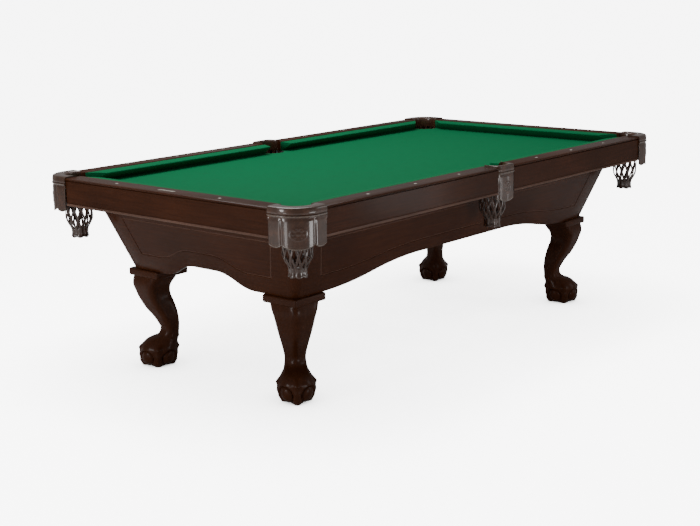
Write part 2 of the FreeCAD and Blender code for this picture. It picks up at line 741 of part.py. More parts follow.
def net_profile():
    """A woven bag seen as a plain hollow shell: straight throat, round belly, neck and flared ring."""
    throat, belly = "net_throat_radius", "net_radius"
    shoulder, neck = "net_radius - net_shoulder_inset", "net_neck_radius + net_neck_flare"
    outer = [("0", "-(net_depth)"), ("net_ring_radius", "-(net_depth)"),
             ("net_neck_radius", "net_neck_height - net_depth"),
             (neck, "net_floor_height - net_wall - net_depth"),
             (shoulder, "net_shoulder_height - net_depth"), (belly, "net_belly_height - net_depth"),
             (belly, "-(net_belly_drop)"), (throat, "-(net_throat_drop)"), (throat, "0")]
    inner = [(throat + " - net_wall", "0"), (throat + " - net_wall", "-(net_throat_drop)"),
             (belly + " - net_wall", "-(net_belly_drop)"),
             (belly + " - net_wall", "net_belly_height + net_wall / 4 - net_depth"),
             (shoulder + " - net_wall", "net_shoulder_height + net_wall / 2 - net_depth"),
             (neck + " - net_wall", "net_floor_height - net_depth"), ("0", "net_floor_height - net_depth")]
    return outer + inner


def pockets(bolts):
    corner_iron, corner_leather = corner_pocket()
    side_iron, side_leather = side_pocket()
    irons = []
    places = [(f"{end}_{side}", corner_iron, corner_leather, sx, sy, signed(sx, "corner_x"),
               signed(sy, "corner_y")) for end, side, sx, sy in CORNERS]
    places += [(f"middle_{side}", side_iron, side_leather, 1, sy, "0", signed(sy, "side_y"))
               for side, sy in SIDES.items()]
    for name, iron, leather, sx, sy, x, y in places:
        irons.append(cut(f"iron_{name}", mirrored(f"iron_{name}_copy", iron, sx, sy), bolts))
        piece = cut(f"leather_{name}", mirrored(f"leather_{name}_copy", leather, sx, sy), bolts)
        keep(piece, f"pocket_leather_{name}")
        keep(place(turned(f"net_{name}", net_profile()), x, y, "bed_height"), f"pocket_net_{name}")
    keep(group("iron_group", irons), "pocket_irons")


# ---------------------------------------------------------------- cabinet

def tapered_board(name, foot_half, top_half, foot_face, top_face, depth, overlap="0"):
    """A leaning board: long edges level, ends and faces following the cabinet's taper."""
    item = doc.addObject("Part::Wedge", name)
    for prop, text in (("Xmin", f"-({foot_half})"), ("Xmax", foot_half), ("X2min", f"-({top_half})"),
                       ("X2max", top_half), ("Ymin", "0"), ("Ymax", "cabinet_height"),
                       ("Zmin", f"{foot_face} - {depth}"), ("Zmax", f"{foot_face} + {overlap}"),
                       ("Z2min", f"{top_face} - {depth}"), ("Z2max", f"{top_face} + {overlap}")):
        bind(item, prop, text)
    return place(item, "0", "0", "cabinet_bottom", FreeCAD.Rotation(FreeCAD.Vector(1, 0, 0), 90))


def arch_loop(kind, low, rise, closing):
    """A low arch of tangent arcs about the middle plane, from low up by rise, and the corners that close it."""
    start, crown = f"{kind}_arch_start", f"{kind}_arch_crown"
    turn = f"({start} + {crown}) / 2"
    middle = f"{low} + {rise} / 2"
    high = f"{low} + {rise}"
    right = [(start, low), (turn, middle, start), (crown, high, crown)]
    left = [(f"-({crown})", high), (f"-({turn})", middle, f"-({crown})"), (f"-({start})", low, f"-({start})")]
    return right + left + closing


def groove_frame(kind, foot_half, reach):
    """A thin frame inside a panel's outline, arched along its lower edge."""
    slope = "cabinet_taper / cabinet_height"
    rings = []
    for name, inset in (("outer", "0"), ("inner", "groove_width")):
        low, top = f"groove_low + {inset}", f"groove_high - {inset}"
        edge = f"{foot_half} - {kind}_groove_inset - {inset} + {slope}"
        side_low = f"{edge} * ({low} - cabinet_bottom)"
        side_high = f"{edge} * ({top} - cabinet_bottom)"
        closing = [(f"-({side_low})", low), (f"-({side_high})", top), (side_high, top), (side_low, low)]
        loop = arch_loop(kind, low, f"{kind}_groove_rise", closing)
        rings.append(extrude(f"{kind}_groove_{name}", drawing(f"{kind}_groove_{name}_lines", "XZ", loop), reach))
    return cut(f"{kind}_groove_frame", *rings)


def apron(kind, foot_half, top_half, foot_face, top_face):
    """One panel of the cabinet, drawn facing -Y: a leaning board, arched below, with a routed frame."""
    reach = f"{top_face} + tool_past"
    board = tapered_board(f"{kind}_board", foot_half, top_half, foot_face, top_face, "panel_thickness")
    below = [(f"-({kind}_arch_start)", "cabinet_bottom - tool_past"),
             (f"{kind}_arch_start", "cabinet_bottom - tool_past")]
    lines = drawing(f"{kind}_arch_lines", "XZ", arch_loop(kind, "cabinet_bottom", f"{kind}_arch_rise", below))
    arch = extrude(f"{kind}_arch", lines, reach)
    skin = tapered_board(f"{kind}_skin", foot_half, top_half, foot_face, top_face, "groove_depth", "tool_past")
    groove = common(f"{kind}_groove", groove_frame(kind, foot_half, reach), skin)
    return cut(f"{kind}_apron", board, arch, groove)


def turned_copy(name, source, angle):
    """A second copy of an object, turned about the vertical axis."""
    item = doc.addObject("Part::Compound", name)
    item.Links = [source]
    return place(item, rotation=about_z(angle))


def cabinet(screws):
    side = apron("side", "cabinet_foot_length - post_radius", "cabinet_half_length - post_radius",
                 "cabinet_foot_width", "cabinet_half_width")
    end = apron("end", "cabinet_foot_width - post_radius", "cabinet_half_width - post_radius",
                "cabinet_foot_length", "cabinet_half_length")
    keep(cut("front_panel", side, screws), "cabinet_side_front")
    keep(cut("back_panel", turned_copy("back_copy", side, 180), screws), "cabinet_side_back")
    keep(cut("head_panel", turned_copy("head_copy", end, -90), screws), "cabinet_end_head")
    keep(cut("foot_panel", turned_copy("foot_copy", end, 90), screws), "cabinet_end_foot")

    quarter = [("0", "0"), ("post_radius", "0"), ("0", "post_radius", "0")]
    posts = []
    blocks = []
    for end_name, side_name, sx, sy in CORNERS:
        name = f"post_{end_name}_{side_name}"
        turn = about_z(diagonal_turn(sx, sy) - 45)
        sections = []
        for level, half_x, half_y, z in (("foot", "cabinet_foot_length", "cabinet_foot_width", "cabinet_bottom"),
                                         ("top", "cabinet_half_length", "cabinet_half_width", "cabinet_top")):
            section = drawing(f"{name}_{level}", "XY", quarter)
            place(section, signed(sx, f"{half_x} - post_radius"), signed(sy, f"{half_y} - post_radius"), z, turn)
            sections.append(section)
        post = loft(name, sections, True)
        posts.append(post)
        reach_x = "cabinet_foot_length - panel_thickness"
        reach_y = "cabinet_foot_width - panel_thickness"
        low_x = f"{reach_x} - block_size" if sx > 0 else f"-({reach_x})"
        low_y = f"{reach_y} - block_size" if sy > 0 else f"-({reach_y})"
        block = box(f"block_{end_name}_{side_name}", (low_x, low_y, "cabinet_bottom"),
                    ("block_size", "block_size", "block_height"))
        hole = cylinder(f"block_hole_{end_name}_{side_name}",
                        (signed(sx, "leg_inset_x"), signed(sy, "leg_inset_y"), "cabinet_bottom"),
                        "leg_bolt_radius", "block_height")
        blocks.append(cut(f"block_cut_{end_name}_{side_name}", block, post, hole))
    keep(group("post_group", posts), "corner_posts")
    keep(group("block_group", blocks), "corner_blocks")

    beams = []
    inner = "cabinet_half_width - panel_thickness - cabinet_taper * beam_height / cabinet_height"
    for name, x in (("head", "-(slate_joint)"), ("middle", "0"), ("foot", "slate_joint")):
        beams.append(box(f"beam_{name}", (f"{x} - beam_width / 2", f"-({inner})", "beam_bottom"),
                         ("beam_width", f"2 * ({inner})", "beam_height")))
    level = "beam_height + stringer_height"
    run = f"cabinet_half_length - panel_thickness - cabinet_taper * ({level}) / cabinet_height"
    for side_name, sy in SIDES.items():
        y = signed(sy, "stringer_offset")
        beams.append(box(f"stringer_{side_name}", (f"-({run})", f"{y} - beam_width / 2",
                                                   "beam_bottom - stringer_height"),
                         (f"2 * ({run})", "beam_width", "stringer_height")))
    keep(group("beam_group", beams), "frame_beams")


# ---------------------------------------------------------------- legs

# A carved leg's level sections from its top down. Each gives its height, how far its centre stands outwards
# of the foot's, and how far it falls short of the cap's edge outwards and across.
LEG_SECTIONS = [
    (383, -9, -3, -1), (343, 9, 5, 6), (300, 4, 14, 17), (250, -17, 20, 28), (205, -39, 31, 38),
    (160, -53, 42, 43), (125, -41, 31, 32), (98, -14, 10, 13), (65, 0, 2, 4), (33, 0, 6, 10), (4, 0, 23, 29),
]


def leg(name):
    """One leg in its own frame: axis upright at the origin, +X out along the corner's diagonal."""
    top, bottom = LEG_SECTIONS[0][0], LEG_SECTIONS[-1][0]
    rings = []
    for number, (z, centre, out, across) in enumerate(LEG_SECTIONS):
        ring = doc.addObject("Part::Ellipse", f"{name}_ring_{number}")
        bind(ring, "MajorRadius", f"cap_size / 2 - ({out})")
        bind(ring, "MinorRadius", f"cap_size / 2 - ({across})")
        share = (z - bottom) / (top - bottom)
        place(ring, f"foot_offset + ({centre})", "0", f"foot_bottom + {share} * (leg_top - foot_bottom)")
        rings.append(ring)
    body = loft(name + "_loft", rings, False)
    recess = cylinder(name + "_recess", ("foot_offset", "0", "foot_bottom"), "pad_radius + recess_clearance",
                      "recess_depth")
    socket = cylinder(name + "_socket", ("foot_offset", "0", "foot_bottom"), "insert_radius",
                      "insert_start + insert_length - foot_bottom")
    bore = cylinder(name + "_bore", ("foot_offset", "0", "foot_bottom"), "stem_radius + bore_clearance",
                    "pad_thickness + stem_length + bore_spare - foot_bottom")
    bolt = cylinder(name + "_bolt_hole", ("0", "0", "leg_top - leg_bolt_depth"), "leg_bolt_radius",
                    "leg_bolt_depth + tool_past")
    return cut(name + "_drilled", body, recess, socket, bore, bolt)


def legs():
    caps = []
    inserts = []
    bolts = []
    for end, side, sx, sy in CORNERS:
        name = f"{end}_{side}"
        x = signed(sx, "leg_inset_x")
        y = signed(sy, "leg_inset_y")
        turn = about_z(diagonal_turn(sx, sy))
        keep(place(leg(f"carved_{name}"), x, y, "0", turn), f"leg_{name}")
        blank = rounded_block(f"cap_{name}", (f"{x} - cap_size / 2", f"{y} - cap_size / 2", "leg_top"),
                              ("cap_size", "cap_size", "cap_thickness"), "cap_round", range(1, 13))
        hole = cylinder(f"cap_hole_{name}", (x, y, "leg_top - tool_past"), "leg_bolt_radius",
                        "cap_thickness + 2 * tool_past")
        caps.append(cut(f"cap_cut_{name}", blank, hole))
        foot_x = f"{x} + ({sx}) * foot_offset / sqrt(2)"
        foot_y = f"{y} + ({sy}) * foot_offset / sqrt(2)"
        sleeve = cylinder(f"insert_{name}", (foot_x, foot_y, "insert_start"), "insert_radius", "insert_length")
        thread = cylinder(f"insert_bore_{name}", (foot_x, foot_y, "insert_start"),
                          "stem_radius + stem_clearance", "insert_length")
        inserts.append(cut(f"insert_cut_{name}", sleeve, thread))
        bolt = cylinder(f"leg_bolt_shank_{name}", (x, y, "leg_top - leg_bolt_depth"), "leg_bolt_radius",
                        "leg_bolt_length")
        nut = cylinder(f"leg_bolt_nut_{name}", (x, y, "cabinet_bottom + block_height"), "leg_nut_radius",
                       "bolt_head_height")
        bolts.append(fuse(f"leg_bolt_{name}", bolt, nut))
        profile = [("0", "0"), ("pad_radius", "0"), ("pad_radius", "pad_thickness"),
                   ("stem_radius", "pad_thickness"), ("stem_radius", "pad_thickness + stem_length"),
                   ("0", "pad_thickness + stem_length")]
        keep(place(turned(f"levelling_foot_{name}", profile), foot_x, foot_y, "0"), f"leveller_{name}")
    keep(group("cap_group", caps), "leg_caps")
    keep(group("insert_group", inserts), "leveller_inserts")
    keep(group("leg_bolt_group", bolts), "leg_bolts")


# ---------------------------------------------------------------- build and write

def check(item):
    """Stop if an object failed to build."""
    if {"Invalid", "Error"} & set(item.State):
        raise RuntimeError(f"{item.Label} failed: {item.State}")


def build():
    fill_sheet()
    bolts, bolt_holes = rail_bolts()
    screws = slate_screws()
    irons_to_rails = pocket_bolts()
    dots = sights()
    plate = name_plate()
    bed(screws, bolt_holes)
    rails((bolts, irons_to_rails, dots, plate))
    pockets(irons_to_rails)
    cabinet(screws)
    legs()
    keep(bolts, "rail_bolts")
    keep(screws, "slate_screws")
    keep(irons_to_rails, "pocket_bolts")
    keep(dots, "sights")
    keep(plate, "name_plate")
    doc.recompute()


def write():
    for item in doc.Objects:
        check(item)
    os.makedirs("parts", exist_ok=True)
    for item in parts:
        if item.Shape.isNull() or not item.Shape.isValid() or not item.Shape.Solids:
            raise RuntimeError(f"{item.Label} has no valid solid")
        item.Shape.exportStep(f"parts/{item.Label}.step")
        print(f"{item.Label}: {len(item.Shape.Solids)} solids, {item.Shape.Volume / 1000:.1f} cm3")
    print(len(parts), "sub-parts")


build()
write()
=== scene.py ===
"""Looks of an eight-foot pool table with a slate bed, leather drop pockets and carved legs.

Metres. +X runs from the head end to the foot end, +Y across to the back side, +Z up from the floor.
"""
import math

import bmesh
import bpy
from bpy.props import FloatProperty, FloatVectorProperty, IntProperty, PointerProperty
from mathutils import Matrix, Vector


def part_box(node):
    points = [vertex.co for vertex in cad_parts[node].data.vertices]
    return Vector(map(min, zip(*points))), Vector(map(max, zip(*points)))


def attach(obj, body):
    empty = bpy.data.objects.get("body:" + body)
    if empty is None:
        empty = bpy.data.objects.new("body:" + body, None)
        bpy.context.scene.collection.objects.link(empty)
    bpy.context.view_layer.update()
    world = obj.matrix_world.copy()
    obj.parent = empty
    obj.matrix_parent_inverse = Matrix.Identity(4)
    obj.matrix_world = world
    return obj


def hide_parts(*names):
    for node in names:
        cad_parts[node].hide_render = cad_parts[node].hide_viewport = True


bl_info = {
    "name": "Pool Table",
    "version": (1, 0, 0),
    "blender": (4, 5, 0),
    "location": "3D View > Sidebar > Pool Table",
    "description": "Builds the finished surfaces of a pool table round its engineering model",
    "category": "Object",
}

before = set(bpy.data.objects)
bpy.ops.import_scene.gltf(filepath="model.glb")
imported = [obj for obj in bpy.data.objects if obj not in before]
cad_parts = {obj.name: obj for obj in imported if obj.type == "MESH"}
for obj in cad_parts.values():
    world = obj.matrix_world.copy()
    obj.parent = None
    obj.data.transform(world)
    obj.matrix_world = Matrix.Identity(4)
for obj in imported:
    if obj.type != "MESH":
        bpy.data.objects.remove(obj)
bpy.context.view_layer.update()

BODY = "table"
MM = 0.001
UP = Vector((0, 0, 1))
FULL_TURN = 2 * math.pi

SIDES = {"front": -1, "back": 1}
ENDS = {"head": -1, "foot": 1}
CORNERS = [(f"{end}_{side}", sx, sy) for end, sx in ENDS.items() for side, sy in SIDES.items()]


# ---------------------------------------------------------------- places, read from the frame

def lowest(node):
    return Vector(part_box(node)[0])


def highest(node):
    return Vector(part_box(node)[1])


def middle(node):
    return (lowest(node) + highest(node)) / 2


BED = highest("bed_cloth").z
SLATE_END = highest("bed_cloth")
RAIL_END = Vector((highest("rail_foot").x, highest("rail_back_foot").y, highest("rail_foot").z))
CORNER_DROP = middle("pocket_net_foot_back")
SIDE_DROP = middle("pocket_net_middle_back")
LONG_RAIL_END = highest("rail_back_foot").x
SHORT_RAIL_END = highest("rail_foot").y
SIDE_RAIL_END = lowest("rail_back_foot").x
PANEL_LOW = lowest("cabinet_side_front").z
PANEL_HIGH = highest("cabinet_side_front").z
CABINET_TOP = Vector((highest("cabinet_end_foot").x, highest("cabinet_side_back").y))
CAP_LOW = lowest("leg_caps").z
CAP_OUTER = highest("leg_caps")


class PoolTableSizes(bpy.types.PropertyGroup):
    """Sizes of the finished surfaces that the frame doesn't give."""
    rail_width: FloatProperty(name="Rail width", description="Cushion nose to the rail's outer edge",
                              default=0.131, unit="LENGTH")
    cushion_depth: FloatProperty(name="Cushion depth", description="Cushion nose to the wood",
                                 default=0.053, unit="LENGTH")
    corner_mouth: FloatProperty(name="Corner mouth", description="Between the noses at a corner pocket",
                                default=0.127, unit="LENGTH")
    side_mouth: FloatProperty(name="Side mouth", description="Between the noses at a side pocket",
                              default=0.140, unit="LENGTH")
    corner_cut: FloatProperty(name="Corner cut", description="Angle of the cushion facings at the corners",
                              default=math.radians(38), subtype="ANGLE")
    side_cut: FloatProperty(name="Side cut", description="Angle of the cushion facings at the sides",
                            default=math.radians(76), subtype="ANGLE")
    pocket_radius: FloatProperty(name="Pocket radius", description="Radius of the drop in the leather",
                                 default=0.058, unit="LENGTH")
    slate_hole: FloatProperty(name="Slate hole", description="Radius of the drop in the slate and cloth",
                              default=0.060, unit="LENGTH")
    corner_round: FloatProperty(name="Corner round", description="Radius of the corner leather's outline",
                                default=0.100, unit="LENGTH")
    cabinet_taper: FloatProperty(name="Cabinet taper", description="How far each panel leans in at its foot",
                                 default=0.102, unit="LENGTH")
    post_radius: FloatProperty(name="Post radius", description="Radius of the cabinet's corner posts",
                               default=0.042, unit="LENGTH")
    panel_thickness: FloatProperty(name="Panel thickness", description="Thickness of the cabinet's panels",
                                   default=0.020, unit="LENGTH")
    cap_size: FloatProperty(name="Cap size", description="Side of the square cap on each leg",
                            default=0.162, unit="LENGTH")
    cap_overhang: FloatProperty(name="Cap overhang", default=0.008, unit="LENGTH",
                                description="What the cap's rounded edge adds to its side")
    foot_offset: FloatProperty(name="Foot offset", default=0.017, unit="LENGTH",
                               description="How far a foot stands out from its cap's middle")
    net_straps: IntProperty(name="Net straps", description="Straps that wind each way round a net",
                            default=12, min=3)


def linear(code):
    """An sRGB hex colour as linear red, green, blue and alpha."""
    parts = [int(code[start:start + 2], 16) / 255 for start in (1, 3, 5)]
    return tuple(part / 12.92 if part <= 0.04045 else ((part + 0.055) / 1.055) ** 2.4
                 for part in parts) + (1.0,)


def tint(name, code):
    """A colour that a maker would choose."""
    return FloatVectorProperty(name=name, description=f"Colour of the {name.lower()}", default=linear(code),
                               size=4, min=0, max=1, subtype="COLOR")


class PoolTableFinishes(bpy.types.PropertyGroup):
    """Colours of the stained, woven and tanned pieces."""
    stain: tint("Wood stain", "#371c0e")
    cloth: tint("Cloth", "#005e37")
    leather: tint("Pocket leather", "#3c2518")
    strap: tint("Net leather", "#38241a")


def size(name):
    return getattr(bpy.context.scene.pool_table_sizes, name)


def finish_colour(name):
    return tuple(getattr(bpy.context.scene.pool_table_finishes, name))


# ---------------------------------------------------------------- materials

def add_node(tree, kind, inputs=None, **settings):
    """Add a node with its settings; an input is a value or the output socket that feeds it."""
    item = tree.nodes.new(kind)
    for name, setting in settings.items():
        setattr(item, name, setting)
    for name, given in (inputs or {}).items():
        if isinstance(given, bpy.types.NodeSocket):
            tree.links.new(given, item.inputs[name])
        else:
            item.inputs[name].default_value = given
    return item


def new_material(name):
    material = bpy.data.materials.new(name)
    material.use_nodes = True
    material.node_tree.nodes.clear()
    return material, material.node_tree


def surface(tree, inputs):
    shader = add_node(tree, "ShaderNodeBsdfPrincipled", inputs)
    add_node(tree, "ShaderNodeOutputMaterial", {"Surface": shader.outputs["BSDF"]})


def scaled(tree, scale):
    """Object coordinates, stretched by a scale along each axis."""
    place = add_node(tree, "ShaderNodeTexCoord").outputs["Object"]
    return add_node(tree, "ShaderNodeMapping", {"Vector": place, "Scale": scale}).outputs["Vector"]


def noise(tree, vector, scale, detail=3.0, roughness=0.5, distortion=0.0):
    inputs = {"Vector": vector, "Scale": scale, "Detail": detail, "Roughness": roughness,
              "Distortion": distortion}
    return add_node(tree, "ShaderNodeTexNoise", inputs).outputs["Fac"]


def ramp(tree, factor, stops):
    """A colour ramp with (position, colour) stops."""
    item = add_node(tree, "ShaderNodeValToRGB", {"Fac": factor})
    elements = item.color_ramp.elements
    while len(elements) < len(stops):
        elements.new(0.5)
    for element, (position, colour) in zip(elements, stops):
        element.position = position
        element.color = colour
    return item.outputs["Color"]


def remap(tree, value, low, high):
    inputs = {"Value": value, "To Min": low, "To Max": high}
    return add_node(tree, "ShaderNodeMapRange", inputs).outputs["Result"]


def bump(tree, height, distance, strength=1.0):
    inputs = {"Height": height, "Distance": distance, "Strength": strength}
    return add_node(tree, "ShaderNodeBump", inputs).outputs["Normal"]


def shade(colour, factor):
    return tuple(part * factor for part in colour[:3]) + (1.0,)


WOOD_SHINE = 0.05
WOOD_COAT = 0.07
GRAIN_WIDTH = 6 * MM          # between the darker streaks of a maple board
GRAIN_LENGTH = 160 * MM


def stained_maple(name, axis, stain):
    """Maple under an espresso stain and a lacquer polished to satin: nearly even dark brown with faint long
    streaks and a soft, broad gloss from the lacquer over them."""
    material, tree = new_material(name)
    scale = [1 / GRAIN_WIDTH] * 3
    scale["XYZ".index(axis)] = 1 / GRAIN_LENGTH
    streaks = noise(tree, scaled(tree, scale), 1.0, 4.0, 0.6, 0.4)
    cloudy = noise(tree, scaled(tree, (3, 3, 3)), 1.0, 2.0)
    mixed = add_node(tree, "ShaderNodeMath", {0: streaks, 1: cloudy, 2: 0.12}, operation="MULTIPLY_ADD")
    tones = [(0.2, shade(stain, 0.62)), (0.42, stain), (0.66, shade(stain, 1.5))]
    colour = ramp(tree, mixed.outputs[0], tones)
    surface(tree, {"Base Color": colour, "Roughness": remap(tree, streaks, 0.3, 0.44), "IOR": 1.5,
                   "Specular IOR Level": WOOD_SHINE, "Coat Weight": WOOD_COAT, "Coat Roughness": 0.13,
                   "Normal": bump(tree, streaks, 0.15 * MM, 0.5)})
    return material


def billiard_cloth():
    """Worsted wool billiard cloth: an even, matt green with a short nap that lightens it at grazing angles.
    The threads are a third of a millimetre apart and are drawn at one, so that they show."""
    material, tree = new_material("Worsted Billiard Cloth")
    thread = 1.0 * MM
    place = scaled(tree, (1, 1, 1))
    weave = noise(tree, place, 1 / thread, 2.0, 0.7)
    nap = noise(tree, place, 1 / (45 * MM), 4.0, 0.65)
    cloth = finish_colour("cloth")
    fibres = add_node(tree, "ShaderNodeMath", {0: weave, 1: nap}, operation="ADD")
    tones = [(0.36, shade(cloth, 0.86)), (0.62, shade(cloth, 1.1))]
    colour = ramp(tree, remap(tree, fibres.outputs[0], 0.0, 0.5), tones)
    surface(tree, {"Base Color": colour, "Roughness": 0.92, "IOR": 1.4, "Specular IOR Level": 0.15,
                   "Sheen Weight": 0.12, "Sheen Roughness": 0.5, "Sheen Tint": shade(cloth, 2.0),
                   "Normal": bump(tree, weave, 0.12 * MM, 0.6)})
    return material


def glazed_leather(name, colour, grain, roughness):
    """Vegetable-tanned leather, dyed dark and glazed: pebbled grain under a hard polish that takes white
    highlights, worn lighter where it is most handled."""
    material, tree = new_material(name)
    place = scaled(tree, (1, 1, 1))
    pebbles = add_node(tree, "ShaderNodeTexVoronoi", {"Vector": place, "Scale": 1 / grain},
                       feature="SMOOTH_F1")
    patches = noise(tree, place, 1 / (28 * MM), 4.0, 0.6)
    tone = ramp(tree, patches, [(0.3, shade(colour, 0.7)), (0.55, colour), (0.75, shade(colour, 1.7))])
    surface(tree, {"Base Color": tone, "Roughness": remap(tree, patches, roughness, roughness + 0.14),
                   "IOR": 1.5, "Specular IOR Level": 0.2, "Coat Weight": 0.5, "Coat Roughness": 0.12,
                   "Coat IOR": 1.6,
                   "Normal": bump(tree, pebbles.outputs["Distance"], 0.25 * MM, 0.35)})
    return material


def plain_finish(name, dark, light, patch, inputs, relief=0.1 * MM):
    """A material whose colour drifts between two tones in patches of one size."""
    material, tree = new_material(name)
    patches = noise(tree, scaled(tree, (1, 1, 1)), 1 / patch, 5.0, 0.6)
    tone = ramp(tree, patches, [(0.3, linear(dark)), (0.7, linear(light))])
    rough = inputs.pop("Roughness")
    surface(tree, {"Base Color": tone, "Roughness": remap(tree, patches, rough - 0.06, rough + 0.08),
                   "Normal": bump(tree, patches, relief, 0.5), **inputs})
    return material


def make_finishes():
    """All materials by the name that the pieces ask for."""
    leather, stain = finish_colour("leather"), finish_colour("stain")
    return {
        "wood_x": stained_maple("Stained Maple Lengthwise", "X", stain),
        "wood_y": stained_maple("Stained Maple Crosswise", "Y", stain),
        "wood_z": stained_maple("Stained Maple Upright", "Z", stain),
        # a lighter copy of the stain: a painted highlight on the fascia's bead and the panels' groove lips
        "rubbed": stained_maple("Rubbed Maple Edge", "X", linear("#5a4339")),
        "cloth": billiard_cloth(),
        "leather": glazed_leather("Glazed Pocket Leather", leather, 1.4 * MM, 0.3),
        # a lighter grey-brown copy of the leather on the piping and the rim: a painted highlight along their
        # rolled edges
        "piping": glazed_leather("Burnished Leather Edge", linear("#5e5148"), 1.8 * MM, 0.2),
        "straps": glazed_leather("Braided Strap Leather", finish_colour("strap"), 1.6 * MM, 0.3),
        # waxed linen: dull beige, the only matt thing on the pockets
        "thread": plain_finish("Waxed Linen Thread", "#4a3a2c", "#6f5b46", 2 * MM, {"Roughness": 0.7}),
        # mother of pearl: milky, with warm and cool clouds under a polish
        "pearl": plain_finish("Pearl Inlay", "#d8cfc0", "#f4efe6", 4 * MM,
                              {"Roughness": 0.18, "Coat Weight": 0.6, "Coat Roughness": 0.05}, 0.02 * MM),
        # antiqued plate: brushed and slightly darkened metal
        "plate": plain_finish("Brushed Nickel Plate", "#8f8a80", "#b9b3a6", 3 * MM,
                              {"Roughness": 0.34, "Metallic": 1.0}, 0.03 * MM),
        # honed slate: flat blue-grey with a faint cloud
        "slate": plain_finish("Honed Slate", "#3a3f44", "#565c61", 60 * MM, {"Roughness": 0.62}),
        # planed poplar: pale, greenish brown, unfinished
        "poplar": plain_finish("Planed Poplar", "#8f7148", "#b39566", 25 * MM, {"Roughness": 0.66}),
        # pure gum rubber: tan, dull and slightly mottled
        "rubber": plain_finish("Gum Rubber", "#8a5f3f", "#a3744e", 10 * MM, {"Roughness": 0.75}),
        # cast iron in black paint: soft sheen over a rough casting
        "iron": plain_finish("Painted Cast Iron", "#131415", "#232426", 3 * MM, {"Roughness": 0.5},
                             0.3 * MM),
        # zinc plating: bright, cool and a little uneven
        "zinc": plain_finish("Zinc Plated Steel", "#9a9da1", "#c3c6ca", 6 * MM,
                             {"Roughness": 0.36, "Metallic": 1.0}, 0.03 * MM),
    }


FINISHES = {}         # filled by main before the pieces are made


# ---------------------------------------------------------------- mesh tools

def vertices(geometry):
    return [item for item in geometry if isinstance(item, bmesh.types.BMVert)]


def edges(geometry):
    return [item for item in geometry if isinstance(item, bmesh.types.BMEdge)]


def everything(bm):
    return bm.verts[:] + bm.edges[:] + bm.faces[:]


def bar(outline, start, end):
    """A bar along X with an outline of (outwards, up) points."""
    bm = bmesh.new()
    face = bm.faces.new([bm.verts.new((start, out, up)) for out, up in outline])
    moved = vertices(bmesh.ops.extrude_face_region(bm, geom=[face])["geom"])
    bmesh.ops.translate(bm, verts=moved, vec=(end - start, 0, 0))
    bmesh.ops.recalc_face_normals(bm, faces=bm.faces)
    return bm


def saw(bm, point, normal):
    """Cut off what lies beyond a plane and close the cut."""
    cut = bmesh.ops.bisect_plane(bm, geom=everything(bm), dist=1e-6, plane_co=point, plane_no=normal,
                                 clear_outer=True)
    loop = edges(cut["geom_cut"])
    if loop:
        bmesh.ops.contextual_create(bm, geom=loop)
    bmesh.ops.recalc_face_normals(bm, faces=bm.faces)


def round_edges(bm, chosen, width, segments=3):
    bmesh.ops.bevel(bm, geom=chosen, offset=width, offset_type="OFFSET", segments=segments, profile=0.5,
                    affect="EDGES", material=-1, clamp_overlap=True)


def sharp_edges(bm, angle):
    """Edges whose faces turn by more than an angle."""
    bm.normal_update()
    return [edge for edge in bm.edges if len(edge.link_faces) == 2 and edge.calc_face_angle(0) > angle]


def shaped_grid(columns, rows, spot):
    """A grid whose points go where spot(u, v) says, with u and v from 0 to 1."""
    bm = bmesh.new()
    bmesh.ops.create_grid(bm, x_segments=columns, y_segments=rows, size=1)
    for vert in bm.verts:
        vert.co = spot((vert.co.x + 1) / 2, (vert.co.y + 1) / 2)
    return bm


def close_tube(bm):
    """Merge a grid's seam and cap its two open ends."""
    bmesh.ops.remove_doubles(bm, verts=bm.verts, dist=1e-6)
    bmesh.ops.holes_fill(bm, edges=[edge for edge in bm.edges if edge.is_boundary], sides=0)
    bmesh.ops.recalc_face_normals(bm, faces=bm.faces)
    return bm


def tube(path, radius, columns, sides=8):
    """A round tube along path(u), which gives a point and the way out from the piece there."""
    def spot(u, v):
        point, out = path(u)
        ahead = path(min(u + 0.002, 1))[0] - path(max(u - 0.002, 0))[0]
        across = ahead.normalized().cross(out).normalized()
        angle = v * FULL_TURN
        return point + out * (radius * math.cos(angle)) + across * (radius * math.sin(angle))
    return close_tube(shaped_grid(columns, sides, spot))


def join(bm, other):
    """Add another mesh's faces to this one."""
    mesh = bpy.data.meshes.new("joined")
    other.to_mesh(mesh)
    other.free()
    bm.from_mesh(mesh)
    bpy.data.meshes.remove(mesh)


def new_piece(name, bm, material, nodes=(), transform=None, sharp=40, painted_highlight_finish=None):
    """Make a bmesh a finished piece that rides on the table and stands for CAD nodes."""
    if transform is not None:
        bmesh.ops.transform(bm, matrix=transform, verts=bm.verts)
    mesh = bpy.data.meshes.new(name)
    bm.normal_update()
    bm.to_mesh(mesh)
    bm.free()
    mesh.shade_smooth()
    mesh.set_sharp_from_angle(angle=math.radians(sharp))
    mesh.materials.append(FINISHES[material])
    if painted_highlight_finish:
        mesh.materials.append(FINISHES[painted_highlight_finish])
    piece = bpy.data.objects.new(name, mesh)
    bpy.context.scene.collection.objects.link(piece)
    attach(piece, BODY)
    if nodes:
        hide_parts(*nodes)
    return piece


def ease(low, high, value):
    """0 below low, 1 above high, smooth between."""
    share = min(max((value - low) / (high - low), 0), 1)
    return share * share * (3 - 2 * share)


def smooth(points, at):
    """A smooth curve through (place, value) points whose places fall, read at one place."""
    if at >= points[0][0]:
        return points[0][1]
    for index in range(len(points) - 1):
        high, low = points[index], points[index + 1]
        if at >= low[0]:
            break
    else:
        return points[-1][1]
    before = points[max(index - 1, 0)]
    after = points[min(index + 2, len(points) - 1)]
    span = high[0] - low[0]
    share = (high[0] - at) / span
    slope_high = (low[1] - before[1]) / (before[0] - low[0]) * span
    slope_low = (after[1] - high[1]) / (high[0] - after[0]) * span
    cube, square = share ** 3, share ** 2
    return ((2 * cube - 3 * square + 1) * high[1] + (cube - 2 * square + share) * slope_high
            + (3 * square - 2 * cube) * low[1] + (cube - square) * slope_low)


